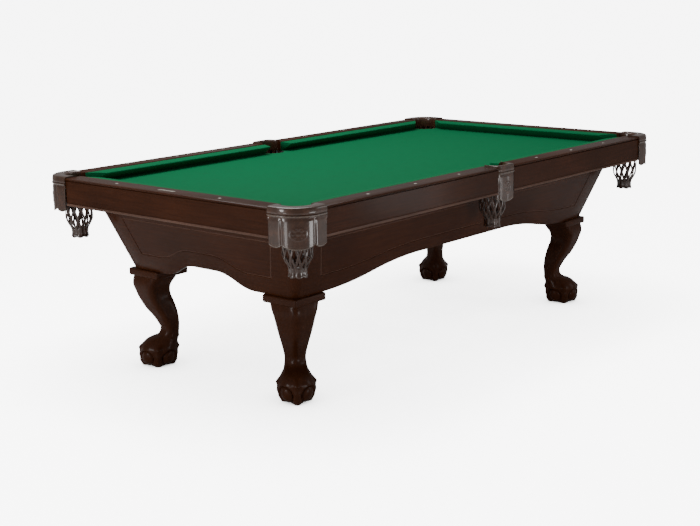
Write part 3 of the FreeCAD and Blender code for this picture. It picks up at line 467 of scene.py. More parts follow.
def quarter_arc(centre, across, up, start, end, steps):
    """Points on an arc between two angles in degrees, both ends included."""
    angles = [math.radians(start + (end - start) * step / steps) for step in range(steps + 1)]
    return [(centre[0] + across * math.cos(angle), centre[1] + up * math.sin(angle)) for angle in angles]


# ---------------------------------------------------------------- stage

WORLD_LIGHT = 0.34
FLOOR_GLOW = 7.0      # what only the camera sees of the floor and the world, so that both look white
SHADOW_REACH = 0.8    # how far from the table the floor's glow is dimmed: a painted shadow
FLOOR_SPREAD = 400
LIGHTS = [
    # name, place, what it points at, width and height, watts
    ("overhead_softbox", (-0.3, 0.8, 3.4), (0, 0, 0.6), (3.0, 2.0), 115),
    ("right_softbox", (3.4, -4.4, 2.6), (0.2, -0.4, 0.5), (2.0, 2.0), 36),
    ("left_softbox", (-5.4, 0.7, 1.5), (-1.0, 0, 0.4), (1.2, 1.6), 100),
    ("right_strip", (-0.55, -2.9, 0.3), (-1.2, -0.68, 0.72), (1.0, 0.5), 16),
    ("left_strip", (-3.3, -0.45, 0.3), (-1.24, -0.62, 0.72), (0.5, 0.5), 4),
    ("side_strip", (1.9, -2.7, 0.35), (0, -0.68, 0.74), (0.5, 0.5), 4),
]
CAMERA_LENS = 67.69
CAMERA_AWAY = 5.948
CAMERA_TARGET = Vector((0, 0.14784, 0.28756))
CAMERA_AZIMUTH = math.radians(-49.67)
CAMERA_ELEVATION = math.radians(12.65)
CAMERA_ROLL = math.radians(-0.85)


class POOLTABLE_OT_stage(bpy.types.Operator):
    """White floor, soft lights and the camera."""
    bl_idname = "pool_table.stage"
    bl_label = "Stage"

    def execute(self, context):
        material, tree = new_material("Studio Floor")
        seen = add_node(tree, "ShaderNodeLightPath").outputs["Is Camera Ray"]
        # ambient occlusion dims the camera-only glow under and round the table: a painted shadow on the
        # floor
        painted_shadow_mask = add_node(tree, "ShaderNodeAmbientOcclusion", {"Distance": SHADOW_REACH},
                            samples=8).outputs["AO"]
        glow = add_node(tree, "ShaderNodeMath", {0: seen, 1: painted_shadow_mask}, operation="MULTIPLY").outputs[0]
        surface(tree, {"Base Color": linear("#f2f2f2"), "Roughness": 0.9, "Specular IOR Level": 0.1,
                       "Emission Color": linear("#ffffff"),
                       "Emission Strength": remap(tree, glow, 0, FLOOR_GLOW)})
        bm = bmesh.new()
        bmesh.ops.create_grid(bm, x_segments=1, y_segments=1, size=FLOOR_SPREAD)
        mesh = bpy.data.meshes.new("studio_floor")
        bm.to_mesh(mesh)
        bm.free()
        mesh.materials.append(material)
        floor = bpy.data.objects.new("studio_floor", mesh)
        bpy.context.scene.collection.objects.link(floor)

        world = bpy.data.worlds.new("Studio")
        bpy.context.scene.world = world
        world.use_nodes = True
        back = world.node_tree.nodes["Background"]
        back.inputs["Color"].default_value = (1, 1, 1, 1)
        tree = world.node_tree
        seen = add_node(tree, "ShaderNodeLightPath").outputs["Is Camera Ray"]
        tree.links.new(remap(tree, seen, WORLD_LIGHT, FLOOR_GLOW + WORLD_LIGHT), back.inputs["Strength"])

        for light in LIGHTS:
            add_light(*light)

        camera = bpy.data.objects.new("camera", bpy.data.cameras.new("camera"))
        bpy.context.scene.collection.objects.link(camera)
        camera.data.sensor_width = 36
        camera.data.lens = CAMERA_LENS
        level = math.cos(CAMERA_ELEVATION)
        back_way = Vector((math.sin(CAMERA_AZIMUTH) * level, -math.cos(CAMERA_AZIMUTH) * level,
                           math.sin(CAMERA_ELEVATION)))
        right = Vector((math.cos(CAMERA_AZIMUTH), math.sin(CAMERA_AZIMUTH), 0))
        upward = back_way.cross(right)
        tilted_right = right * math.cos(CAMERA_ROLL) + upward * math.sin(CAMERA_ROLL)
        tilted_up = upward * math.cos(CAMERA_ROLL) - right * math.sin(CAMERA_ROLL)
        turn = Matrix((tilted_right, tilted_up, back_way)).transposed().to_4x4()
        camera.matrix_world = Matrix.Translation(CAMERA_TARGET + back_way * CAMERA_AWAY) @ turn
        bpy.context.scene.camera = camera
        return {"FINISHED"}


def add_light(name, place, target, extent, power):
    data = bpy.data.lights.new(name, "AREA")
    data.shape = "RECTANGLE"
    data.size, data.size_y = extent
    data.energy = power
    lamp = bpy.data.objects.new(name, data)
    bpy.context.scene.collection.objects.link(lamp)
    lamp.location = place
    lamp.rotation_euler = (Vector(target) - Vector(place)).to_track_quat("-Z", "Y").to_euler()


# ---------------------------------------------------------------- bed

def drop_arc(centre, from_angle, to_angle, steps=24):
    """Points round the edge of a drop, in degrees from +X."""
    return quarter_arc(centre, size("slate_hole"), size("slate_hole"), from_angle, to_angle, steps)


def bed_quarter():
    """The cloth's outline in the back foot quarter, from the side drop to the corner drop."""
    hole = size("slate_hole")
    side_angle = math.degrees(math.asin((SLATE_END.y - SIDE_DROP.y) / hole))
    corner_angle = math.degrees(math.acos((SLATE_END.x - CORNER_DROP.x) / hole))
    side = drop_arc((0, SIDE_DROP.y), -90, side_angle, 16)[1:]
    corner = drop_arc((CORNER_DROP.x, CORNER_DROP.y), 90 + corner_angle, 360 - corner_angle, 28)
    return side, corner


class POOLTABLE_OT_bed(bpy.types.Operator):
    """One cloth drawn tight over the slates and cut away at the six drops."""
    bl_idname = "pool_table.bed"
    bl_label = "Bed cloth"

    def execute(self, context):
        side, corner = bed_quarter()
        bottom = lowest("bed_cloth").z
        quarter = side + corner
        half = quarter + [(x, -y) for x, y in reversed(quarter)]
        outline = half + [(-x, -y) for x, y in half]
        bm = bmesh.new()
        face = bm.faces.new([bm.verts.new((x, y, BED)) for x, y in outline])
        moved = vertices(bmesh.ops.extrude_face_region(bm, geom=[face])["geom"])
        bmesh.ops.translate(bm, verts=moved, vec=(0, 0, bottom - BED))
        bmesh.ops.recalc_face_normals(bm, faces=bm.faces)
        piece = new_piece("bed_cloth_sheet", bm, "cloth", ["bed_cloth"])
        return {"FINISHED"}


# ---------------------------------------------------------------- rails

RAILS = {
    # name: (which ends it has, turn about Z in degrees, along X, along Y)
    "front_head": ("plus", 180, 0, -1),
    "front_foot": ("minus", 180, 0, -1),
    "back_head": ("minus", 0, 0, 1),
    "back_foot": ("plus", 0, 0, 1),
    "head": ("short", 90, -1, 0),
    "foot": ("short", -90, 1, 0),
}


def rail_place(name):
    """From a rail's own frame, along X with its nose line at the origin, to the table."""
    _, turn, sx, sy = RAILS[name]
    nose = Vector((sx * (RAIL_END.x - size("rail_width")), sy * (RAIL_END.y - size("rail_width")), BED))
    return Matrix.Translation(nose) @ Matrix.Rotation(math.radians(turn), 4, "Z")


def rail_ends(name):
    """Each end of a rail: the way it faces, the nose's end, the facing's angle and the square end."""
    half_length = RAIL_END.x - size("rail_width")
    half_width = RAIL_END.y - size("rail_width")
    setback = size("corner_mouth") / math.sqrt(2)
    far = (1, half_length - setback, size("corner_cut"), LONG_RAIL_END)
    near = (-1, size("side_mouth") / 2, size("side_cut"), SIDE_RAIL_END)
    short = (1, half_width - setback, size("corner_cut"), SHORT_RAIL_END)
    other = (-1, -short[1], short[2], -short[3])
    ends = {"plus": [far, near], "minus": [far, near], "short": [short, other]}
    kind = RAILS[name][0]
    if kind == "minus":
        return [(-way, -nose, cut, -square) for way, nose, cut, square in ends[kind]]
    return ends[kind]


def cut_facings(bm, name, gap=0.0):
    for way, nose, cut, _ in rail_ends(name):
        saw(bm, (nose - way * gap, 0, 0), (way * math.sin(cut), -math.cos(cut), 0))


def cut_square(bm, name, gap=0.0):
    for way, _, _, square in rail_ends(name):
        saw(bm, (square - way * gap, 0, 0), (way, 0, 0))


def long_bar(outline):
    return bar(outline, -RAIL_END.x, RAIL_END.x)


def grain(name):
    return "wood_y" if RAILS[name][0] == "short" else "wood_x"


BOARD_DEPTH = 23 * MM         # from a rail's outer edge to the back of its fascia


def rail_outline():
    """Wood behind and under the cushion, a flat top and a long rounded nosing."""
    depth = size("cushion_depth")
    width = size("rail_width")
    top = RAIL_END.z - BED - 0.4 * MM      # just under the sights and the plate
    edge = 4 * MM
    nosing = quarter_arc((width - 13 * MM, top - edge), 13 * MM, edge, 90, 0, 8)
    under = quarter_arc((width - edge, top - edge), edge, edge, 0, -90, 5)[1:]
    inside = [(depth - 6 * MM, 0), (36 * MM, 8 * MM), (36 * MM, top - 4.2 * MM), (depth, top - 4.2 * MM),
              (depth, top - 0.8 * MM), (depth + 0.8 * MM, top)]
    back = [(width - BOARD_DEPTH, top - 2 * edge), (width - BOARD_DEPTH, 0)]
    return inside + nosing + under + back


class POOLTABLE_OT_rails(bpy.types.Operator):
    """Six stained rails, sawn to the pocket mouths."""
    bl_idname = "pool_table.rails"
    bl_label = "Rails"

    def execute(self, context):
        for name in RAILS:
            bm = long_bar(rail_outline())
            cut_facings(bm, name)
            cut_square(bm, name)
            ends = [edge for edge in sharp_edges(bm, math.radians(50))
                    if abs(edge.verts[0].co.x - edge.verts[1].co.x) < 30 * MM
                    and edge.verts[0].co.z > 20 * MM]
            round_edges(bm, ends, 0.8 * MM, 2)
            new_piece(f"stained_rail_{name}", bm, grain(name), [f"rail_{name}"],
                      rail_place(name))
        return {"FINISHED"}


def fascia_outline():
    """A flat board with a shadow rebate under the rail and a step over its bead."""
    width = size("rail_width")
    top = RAIL_END.z - BED - 8 * MM
    bottom = lowest("fascia_head").z - BED
    face = width - 3 * MM
    back = width - BOARD_DEPTH
    return [(back, bottom), (face, bottom), (face, bottom + 10 * MM), (face - 1.4 * MM, bottom + 11 * MM),
            (face, bottom + 12.4 * MM), (face, top - 5 * MM), (face - 1 * MM, top - 4 * MM),
            (face - 5 * MM, top - 4 * MM), (face - 5 * MM, top), (back, top)]


def bead_outline():
    """A half-round bead with a sloping top."""
    face = size("rail_width") - 3 * MM
    bottom = lowest("fascia_head").z - BED
    nose = quarter_arc((face, bottom + 4 * MM), 2.6 * MM, 3.2 * MM, -90, 40, 8)
    above = bottom + 9.6 * MM
    return [(face - 1 * MM, bottom + 0.2 * MM)] + nose + [(face, above), (face - 1 * MM, above)]


class POOLTABLE_OT_fascias(bpy.types.Operator):
    """Six fascia boards under the rails, each with a bead along its foot."""
    bl_idname = "pool_table.fascias"
    bl_label = "Fascias"

    def execute(self, context):
        for name in RAILS:
            # the bead gets the lighter wood, a painted highlight along the fascia's foot
            boards = (("fascia", fascia_outline, grain(name)), ("bead", bead_outline, "rubbed"))
            for kind, outline, finish in boards:
                bm = long_bar(outline())
                cut_square(bm, name, 0.4 * MM)
                new_piece(f"stained_{kind}_{name}", bm, finish, [f"fascia_{name}"],
                          rail_place(name))
        return {"FINISHED"}


def cushion_outline():
    """The cloth's line from the bed round the nose and back to the wood, closed behind."""
    depth = size("cushion_depth")
    nose = quarter_arc((3.4 * MM, 33.1 * MM), 3.4 * MM, 3.4 * MM, 215, 90, 9)
    top = [(12 * MM, 37.6 * MM), (25 * MM, 39 * MM), (38 * MM, 39.9 * MM), (depth - 1.6 * MM, 40.2 * MM),
           (depth - 0.3 * MM, 39.4 * MM)]
    return [(46 * MM, 0.2 * MM)] + nose + top + [(depth - 0.3 * MM, 0.2 * MM)]


class POOLTABLE_OT_cushions(bpy.types.Operator):
    """Cloth drawn over each cushion and its two facings, and tucked in along the wood."""
    bl_idname = "pool_table.cushions"
    bl_label = "Cushion cloths"

    def execute(self, context):
        for name in RAILS:
            bm = long_bar(cushion_outline())
            cut_facings(bm, name, -0.9 * MM)
            behind = size("cushion_depth") - 1 * MM
            hidden = [face for face in bm.faces if all(vert.co.z < 1 * MM for vert in face.verts)
                      or all(vert.co.y > behind for vert in face.verts)]
            bmesh.ops.delete(bm, geom=hidden, context="FACES")
            piece = new_piece(f"cushion_cloth_{name}", bm, "cloth", ["rail_cloths"],
                              rail_place(name), 60)
            skin = piece.modifiers.new("cloth_thickness", "SOLIDIFY")
            skin.thickness = 0.8 * MM
            skin.offset = -1
        return {"FINISHED"}


# ---------------------------------------------------------------- cabinet

def lean(up):
    """How far the cabinet's face stands out at a height, from its foot."""
    return size("cabinet_taper") * (up - PANEL_LOW) / (PANEL_HIGH - PANEL_LOW)


PANELS = {
    # kind: (along, across, corner to the arch's start, half the arch's flat top, the arch's rise, how far
    # the groove stands in from the panel's ends, the groove's own rise)
    "side": ("x", "y", 0.156, 0.300, 0.059, 0.095, 0.041),
    "end": ("y", "x", 0.201, 0.060, 0.057, 0.076, 0.050),
}
GROOVE_FOOT = 70 * MM
GROOVE_HEAD = 75 * MM
ARCH_STEPS = 28


def arched_loop(half, start, crown, low, rise, high):
    """(along, up) points round a panel: along its arched lower edge, then back over its top."""
    places = [-start + (start - crown) * step / ARCH_STEPS for step in range(ARCH_STEPS + 1)]
    lower = []
    for place in places:
        share = (start + place) / (start - crown)
        curve = 2 * share * share if share < 0.5 else 1 - 2 * (1 - share) ** 2
        lower.append((place, low + rise * curve))
    lower += [(-place, up) for place, up in reversed(lower)]
    return ([(-half - lean(low), low)] + lower + [(half + lean(low), low), (half + lean(high), high),
                                                 (-half - lean(high), high)])


def panel_mesh(kind):
    """A leaning panel that faces -Y, with a routed frame on its face."""
    along, across, setback, crown, rise, inset, groove_rise = PANELS[kind]
    taper = size("cabinet_taper")
    foot_along = getattr(CABINET_TOP, along) - taper
    foot_face = getattr(CABINET_TOP, across) - taper
    half = foot_along - size("post_radius") - 0.4 * MM
    start = foot_along - setback
    loops = [(arched_loop(half, start, crown, PANEL_LOW, rise, PANEL_HIGH), 0.0)]
    for step, depth in ((0, 0), (1.0, 1.8), (2.4, 1.8), (5.0, 0)):
        away = step * MM
        low = PANEL_LOW + GROOVE_FOOT + away
        high = PANEL_HIGH - GROOVE_HEAD - away
        loops.append((arched_loop(half - inset - away, start, crown, low, groove_rise, high), depth * MM))
    bm = bmesh.new()
    rings = []
    for points, depth in loops:
        ring = [bm.verts.new((place, depth - foot_face - lean(up), up)) for place, up in points]
        rings.append([bm.edges.new((ring[index - 1], ring[index])) for index in range(len(ring))])
    for outer, inner in zip(rings, rings[1:]):
        lip = bmesh.ops.bridge_loops(bm, edges=outer + inner)["faces"]
    bmesh.ops.contextual_create(bm, geom=rings[-1])
    bmesh.ops.recalc_face_normals(bm, faces=bm.faces)
    for face in bm.faces:
        face.material_index = 1 if face in lip else 0      # the groove's inner lip gets the lighter wood, a painted highlight
    front = rings[0]
    grown = bmesh.ops.extrude_edge_only(bm, edges=front)["geom"]
    bmesh.ops.translate(bm, verts=vertices(grown), vec=(0, size("panel_thickness"), 0))
    bmesh.ops.contextual_create(bm, geom=[edge for edge in edges(grown) if edge.is_boundary])
    bmesh.ops.recalc_face_normals(bm, faces=bm.faces)
    round_edges(bm, front, 1.6 * MM, 2)
    return bm


class POOLTABLE_OT_panels(bpy.types.Operator):
    """The cabinet's two sides and two ends."""
    bl_idname = "pool_table.panels"
    bl_label = "Cabinet panels"

    def execute(self, context):
        for name, kind, turn in (("side_front", "side", 0), ("side_back", "side", 180),
                                 ("end_head", "end", -90), ("end_foot", "end", 90)):
            place = Matrix.Rotation(math.radians(turn), 4, "Z")
            wood = "wood_x" if kind == "side" else "wood_y"
            # the second finish, on the groove's inner lip, is the lighter wood: a painted highlight
            new_piece(f"stained_panel_{name}", panel_mesh(kind), wood, [f"cabinet_{name}"],
                      place, 25, "rubbed")
        return {"FINISHED"}


class POOLTABLE_OT_posts(bpy.types.Operator):
    """Quarter-round posts that lean out with the panels at the cabinet's corners."""
    bl_idname = "pool_table.posts"
    bl_label = "Corner posts"

    def execute(self, context):
        radius, taper = size("post_radius"), size("cabinet_taper")
        for name, sx, sy in CORNERS:
            bm = bmesh.new()
            arc = quarter_arc((0, 0), radius, radius, 0, 90, 14)
            face = bm.faces.new([bm.verts.new((x, y, PANEL_LOW)) for x, y in [(0, 0)] + arc])
            top = vertices(bmesh.ops.extrude_face_region(bm, geom=[face])["geom"])
            bmesh.ops.translate(bm, verts=top, vec=(taper, taper, PANEL_HIGH - PANEL_LOW))
            foot = CABINET_TOP - Vector((taper + radius, taper + radius))
            bmesh.ops.translate(bm, verts=bm.verts, vec=(foot.x, foot.y, 0))
            bmesh.ops.scale(bm, verts=bm.verts, vec=(sx, sy, 1))
            bmesh.ops.recalc_face_normals(bm, faces=bm.faces)
            new_piece(f"stained_post_{name}", bm, "wood_z", ["corner_posts"])
        return {"FINISHED"}


# ---------------------------------------------------------------- legs

def leg_place(sx, sy):
    """A leg's own frame: its cap's middle over the origin, +X out along the corner's diagonal."""
    reach = size("cap_size") / 2
    centre = Vector((sx * (CAP_OUTER.x - reach), sy * (CAP_OUTER.y - reach), 0))
    return Matrix.Translation(centre) @ Matrix.Rotation(math.atan2(sy, sx), 4, "Z")


class POOLTABLE_OT_caps(bpy.types.Operator):
    """A square cap with rounded corners and a bullnosed edge over each leg."""
    bl_idname = "pool_table.caps"
    bl_label = "Leg caps"

    def execute(self, context):
        thick = PANEL_LOW - CAP_LOW
        for name, sx, sy in CORNERS:
            bm = bmesh.new()
            bmesh.ops.create_cube(bm, size=1)
            width = size("cap_size") + size("cap_overhang")
            bmesh.ops.scale(bm, verts=bm.verts, vec=(width, width, thick))
            upright = [edge for edge in bm.edges if abs(edge.verts[0].co.z - edge.verts[1].co.z) > thick / 2]
            round_edges(bm, upright, 7 * MM, 5)
            round_edges(bm, sharp_edges(bm, math.radians(60)), 9 * MM, 5)
            centre = leg_place(sx, sy).translation + UP * (CAP_LOW + thick / 2)
            bmesh.ops.translate(bm, verts=bm.verts, vec=centre)
            new_piece(f"leg_cap_{name}", bm, "wood_x", ["leg_caps"], sharp=30)
        return {"FINISHED"}


# The carved leg's outline in millimetres: height, then its middle outwards and its widths each way.
LEG_MIDDLE = [(383, 11), (364, 20), (343, 28), (322, 27), (297, 21), (272, 10), (240, -5), (207, -22),
              (172, -34), (160, -36), (140, -33), (128, -27), (118, -12), (108, -2), (95, 6), (76, 12),
              (44, 15), (18, 16), (2, 16)]
LEG_OUTWARDS = [(383, 176), (364, 169), (343, 154), (322, 141), (297, 134), (272, 131), (240, 122),
                (207, 102), (172, 83), (160, 77), (140, 80), (128, 89), (118, 116), (108, 131), (95, 140),
                (76, 148), (44, 146), (18, 138), (2, 124)]
LEG_ACROSS = [(383, 180), (361, 173), (328, 154), (296, 140), (263, 126), (231, 111), (198, 96), (179, 88),
              (158, 82), (140, 84), (120, 92), (105, 110), (90, 126), (76, 136), (58, 138), (33, 132),
              (2, 108)]
LEG_SQUARENESS = [(383, 5.5), (355, 5.2), (300, 4.8), (200, 4.4), (150, 3.2), (112, 2.0), (2, 2.0)]


def claw_relief(angle, up):
    """How far the carving stands out of the foot's round body, in millimetres. Four talons grip a ball that
    shows as an oval between each two."""
    from_talon = abs((math.degrees(angle) + 45) % 90 - 45)
    between = (45 - from_talon) / 30
    oval = math.hypot(between, (up - 36) / 33)
    talon = 5 * math.exp(-(from_talon / 9) ** 2) * (1 - ease(84, 104, up))
    knuckles = sum(rise * math.exp(-((up - knuckle) / 8) ** 2)
                   for knuckle, rise in ((77, 5), (46, 2), (20, 2)))
    carved = talon + knuckles * math.exp(-(from_talon / 11) ** 2)
    if oval < 1:
        carved += -10 + 12 * math.sqrt(1 - oval * oval)
    else:
        carved -= 10 * (1 - ease(1, 1.12, oval))
    carved -= 14 * (1 - ease(0, 20, up)) * ease(8, 24, from_talon)
    return carved


def leg_point(around, up):
    """A point on a leg's surface; around is an angle from the way out, up a height in millimetres."""
    squareness = smooth(LEG_SQUARENESS, up)
    turned = around + math.pi / 4
    radius = (abs(math.cos(turned)) ** squareness + abs(math.sin(turned)) ** squareness) ** (-1 / squareness)
    radius /= math.sqrt(2) * 2 ** (-1 / squareness)
    out = smooth(LEG_OUTWARDS, up) / 2
    across = smooth(LEG_ACROSS, up) / 2
    foot = 1 - ease(92, 112, up)
    if foot > 0:
        relief = claw_relief(around, up) * foot
        out += relief
        across += relief
    from_tendon = abs((math.degrees(around) + 30) % 60 - 30)
    tendon = 3 * math.exp(-((up - 122) / 6) ** 2) * math.exp(-(from_tendon / 9) ** 2)
    out += tendon
    across += tendon
    return Vector((smooth(LEG_MIDDLE, up) + out * radius * math.cos(around),
                   across * radius * math.sin(around), up)) * MM


def leg_mesh():
    """A cabriole leg on a ball-and-claw foot, bored from below for the levelling foot."""
    top, bottom = CAP_LOW / MM, LEG_MIDDLE[-1][0]
    ankle = 120

    def spot(u, v):
        up = bottom + (ankle - bottom) * v / 0.62 if v < 0.62 else ankle + (top - ankle) * (v - 0.62) / 0.38
        return leg_point(u * FULL_TURN, up)

    bm = shaped_grid(120, 100, spot)
    bmesh.ops.remove_doubles(bm, verts=bm.verts, dist=1e-6)
    rims = [edge for edge in bm.edges if edge.is_boundary]
    low_rim = [edge for edge in rims if edge.verts[0].co.z < ankle * MM]
    bmesh.ops.contextual_create(bm, geom=[edge for edge in rims if edge not in low_rim])
    socket = Vector((size("foot_offset"), 0, 0))
    for radius, up in ((0.029, bottom * MM), (0.028, 10 * MM), (0.0112, 10 * MM), (0.0112, 60 * MM)):
        ring = bmesh.ops.create_circle(bm, segments=40, radius=radius)["verts"]
        bmesh.ops.translate(bm, verts=ring, vec=socket + UP * up)
        ring_edges = list({edge for vert in ring for edge in vert.link_edges})
        bmesh.ops.bridge_loops(bm, edges=low_rim + ring_edges)
        low_rim = ring_edges
    bmesh.ops.contextual_create(bm, geom=low_rim)
    bmesh.ops.recalc_face_normals(bm, faces=bm.faces)
    return bm


class POOLTABLE_OT_legs(bpy.types.Operator):
    """Four carved legs."""
    bl_idname = "pool_table.legs"
    bl_label = "Carved legs"

    def execute(self, context):
        for name, sx, sy in CORNERS:
            new_piece(f"carved_leg_{name}", leg_mesh(), "wood_z", [f"leg_{name}"],
                      leg_place(sx, sy), 55)
        return {"FINISHED"}


# ---------------------------------------------------------------- pocket leathers

# A leather's section above its shield: share of the way from the drop to the outline, and then, in
# millimetres, how far out of the outline and how high above the bed.
COLLAR = [(0, 0, 1), (0, 0, 20), (0, 0, 38), (0.02, 0, 43), (0.08, 0, 46.6), (0.25, 0, 48.6), (0.5, 0, 49),
          (0.75, 0, 48.6), (0.93, 0, 47.4), (1, 0.2, 45.6), (1, 1.6, 42), (1, 2.6, 37), (1, 3.1, 31),
          (1, 3.0, 25), (1, 1.6, 23), (1, 1.0, 22), (1, 2.6, 21.3), (1, 4.4, 20), (1, 5, 18), (1, 4.4, 16),
          (1, 2.6, 14.6), (1, 1.0, 13.8)]
# A shield's face: height above the bed and how far it stands out of the outline, in millimetres.
SHIELD = [(13, 1.8), (4, 2.2), (-15, 2.5), (-40, 2.5), (-65, 2.3), (-100, 2.0)]
PROUDEST = 5.0
SHIELD_ROWS = 40
LEATHER_WALL = 3.6


def corner_plan(t):
    """A corner leather's outline at t, from the long rail round to the short one, and the way out of it."""
    radius = size("corner_round")
    run_long = RAIL_END.x - radius - LONG_RAIL_END
    run_short = RAIL_END.y - radius - SHORT_RAIL_END
    arc = radius * math.pi / 2
    along = t * (run_long + arc + run_short)
    if along < run_long:
        return Vector((LONG_RAIL_END + along, RAIL_END.y, 0)), Vector((0, 1, 0))
    if along > run_long + arc:
        left = run_long + arc + run_short - along
        return Vector((RAIL_END.x, SHORT_RAIL_END + left, 0)), Vector((1, 0, 0))
    angle = math.pi / 2 - (along - run_long) / radius
    out = Vector((math.cos(angle), math.sin(angle), 0))
    return Vector((RAIL_END.x - radius, RAIL_END.y - radius, 0)) + out * radius, out


def corner_drop(t):
    """The drop's edge opposite the outline at t."""
    edge = math.degrees(math.asin((CORNER_DROP.x - LONG_RAIL_END) / size("pocket_radius")))
    angle = math.radians(90 + edge - t * (90 + 2 * edge))
    out = Vector((math.cos(angle), math.sin(angle), 0))
    return Vector((CORNER_DROP.x, CORNER_DROP.y, 0)) + size("pocket_radius") * out


def side_plan(t):
    """A side leather's outline at t, between the rails' ends, and the way out of it."""
    half = SIDE_RAIL_END - 0.4 * MM
    radius = 14 * MM
    depth = RAIL_END.y - radius - SIDE_DROP.y
    arc = radius * math.pi / 2
    front = 2 * (half - radius)
    along = t * (2 * depth + 2 * arc + front)
    if along < depth:
        return Vector((-half, SIDE_DROP.y + along, 0)), Vector((-1, 0, 0))
    if along < depth + arc:
        angle = math.pi - (along - depth) / radius
        out = Vector((math.cos(angle), math.sin(angle), 0))
        return Vector((radius - half, RAIL_END.y - radius, 0)) + out * radius, out
    if along < depth + arc + front:
        return Vector((radius - half + along - depth - arc, RAIL_END.y, 0)), Vector((0, 1, 0))
    if along < depth + 2 * arc + front:
        angle = math.pi / 2 - (along - depth - arc - front) / radius
        out = Vector((math.cos(angle), math.sin(angle), 0))
        return Vector((half - radius, RAIL_END.y - radius, 0)) + out * radius, out
    return Vector((half, SIDE_DROP.y + 2 * depth + 2 * arc + front - along, 0)), Vector((1, 0, 0))


def side_drop(t):
    angle = math.pi * (1 - t)
    out = Vector((math.cos(angle), math.sin(angle), 0))
    return Vector((0, SIDE_DROP.y, 0)) + size("pocket_radius") * out


POCKET_KINDS = {
    # kind: (outline, drop, where the shield starts, where its middle lobe starts, and the lowest points of
    # its middle and outer lobes above the bed in millimetres)
    "corner": (corner_plan, corner_drop, 0.018, 0.25, (-96, -91)),
    "side": (side_plan, side_drop, 0.235, 0.285, (-99, -88)),
}


def shield_foot(kind, t):
    """Height of a shield's scalloped lower edge at t, in millimetres above the bed."""
    _, _, margin, cusp, (low_middle, low_side) = POCKET_KINDS[kind]
    away = abs(t - 0.5)
    reach = 0.5 - cusp
    if away <= reach:
        return low_middle + 15 * (away / reach) ** 2.4
    share = min((away - reach) / (cusp - margin), 1)
    return low_side + 10 * abs(2 * share - 1) ** 2.4


def relief(kind, t, up):
    """Folds between the lobes and a plain leafy ornament pressed into the middle, in millimetres."""
    _, _, margin, cusp, _ = POCKET_KINDS[kind]
    away = abs(t - 0.5)
    reach = 0.5 - cusp
    fold = -3.2 * math.exp(-((away - reach) / 0.02) ** 2) * (1 - ease(-30, 12, up) * 0.6)
    swell = 1.2 * math.sin(math.pi * min(away / reach, 1)) if away < reach else 0.8
    length = 0.243 if kind == "corner" else 0.30
    across = (t - 0.5) * length / MM
    ring = math.hypot(across / 27, (up + 42) / 21)
    angle = math.atan2(up + 42, across)
    leaves = math.exp(-((ring - 0.72) / 0.16) ** 2) * (0.5 + 0.5 * math.cos(8 * angle))
    rim = math.exp(-((ring - 1.0) / 0.07) ** 2)
    eye = math.exp(-(ring / 0.22) ** 2)
    pressed = 2.2 * max(leaves, rim, eye)
    return fold + swell * (1 - ease(0, 13, up)) + pressed


def shield_proud(kind, t, up):
    """How far a shield's face stands out of the leather's outline, in millimetres."""
    return min(smooth(SHIELD, up) + relief(kind, t, up), PROUDEST)


def leather_mesh(kind):
    """A collar round the drop, a rolled edge, and a shield that hangs from it, as one closed skin."""
    outline, drop = POCKET_KINDS[kind][:2]
    margin = POCKET_KINDS[kind][2]
    back_rows = 6
    rows = len(COLLAR) + SHIELD_ROWS + back_rows

    def spot(u, v):
        t = u
        row = round(v * rows)
        edge, out = outline(t)
        hangs = margin <= t <= 1 - margin
        foot = shield_foot(kind, t) if hangs else 2
        if row == rows:
            row = 0
        if row < len(COLLAR):
            share, proud, up = COLLAR[row]
            point = drop(t).lerp(edge, share) + out * (proud * MM)
        elif row < len(COLLAR) + SHIELD_ROWS:
            down = (row - len(COLLAR) + 1) / SHIELD_ROWS
            up = COLLAR[-1][2] + (foot - COLLAR[-1][2]) * down
            proud = shield_proud(kind, t, up) if hangs else smooth(SHIELD, up)
            proud = COLLAR[-1][1] + (proud - COLLAR[-1][1]) * ease(0, 0.1, down)
            point = edge + out * (proud * MM)
        else:
            share = (row - len(COLLAR) - SHIELD_ROWS) / (back_rows - 1)
            up = foot + (-1 - foot) * share if hangs else 1
            point = edge + out * ((smooth(SHIELD, up) - LEATHER_WALL) * MM)
            if not hangs:
                point = edge + out * (-1 * MM)
        return Vector((point.x, point.y, BED + up * MM))

    bm = shaped_grid(128 if kind == "corner" else 150, rows, spot)
    bmesh.ops.remove_doubles(bm, verts=bm.verts, dist=1e-6)
    bmesh.ops.holes_fill(bm, edges=[edge for edge in bm.edges if edge.is_boundary], sides=0)
    bmesh.ops.recalc_face_normals(bm, faces=bm.faces)
    return bm


def edge_path(kind, raise_by, proud):
    """A line that follows a shield's lower edge."""
    outline = POCKET_KINDS[kind][0]
    margin = POCKET_KINDS[kind][2] + 0.006

    def path(u):
        t = margin + (1 - 2 * margin) * u
        edge, out = outline(t)
        up = shield_foot(kind, t) + raise_by
        return edge + out * ((shield_proud(kind, t, up) + proud) * MM) + UP * (BED + up * MM), out
    return path


def rim_path(kind):
    """A line round a leather just under its collar, as wide as its shield."""
    outline = POCKET_KINDS[kind][0]
    margin = POCKET_KINDS[kind][2]

    def path(u):
        edge, out = outline(margin + (1 - 2 * margin) * u)
        return edge + out * (2.6 * MM) + UP * (BED + 17.6 * MM), out
    return path


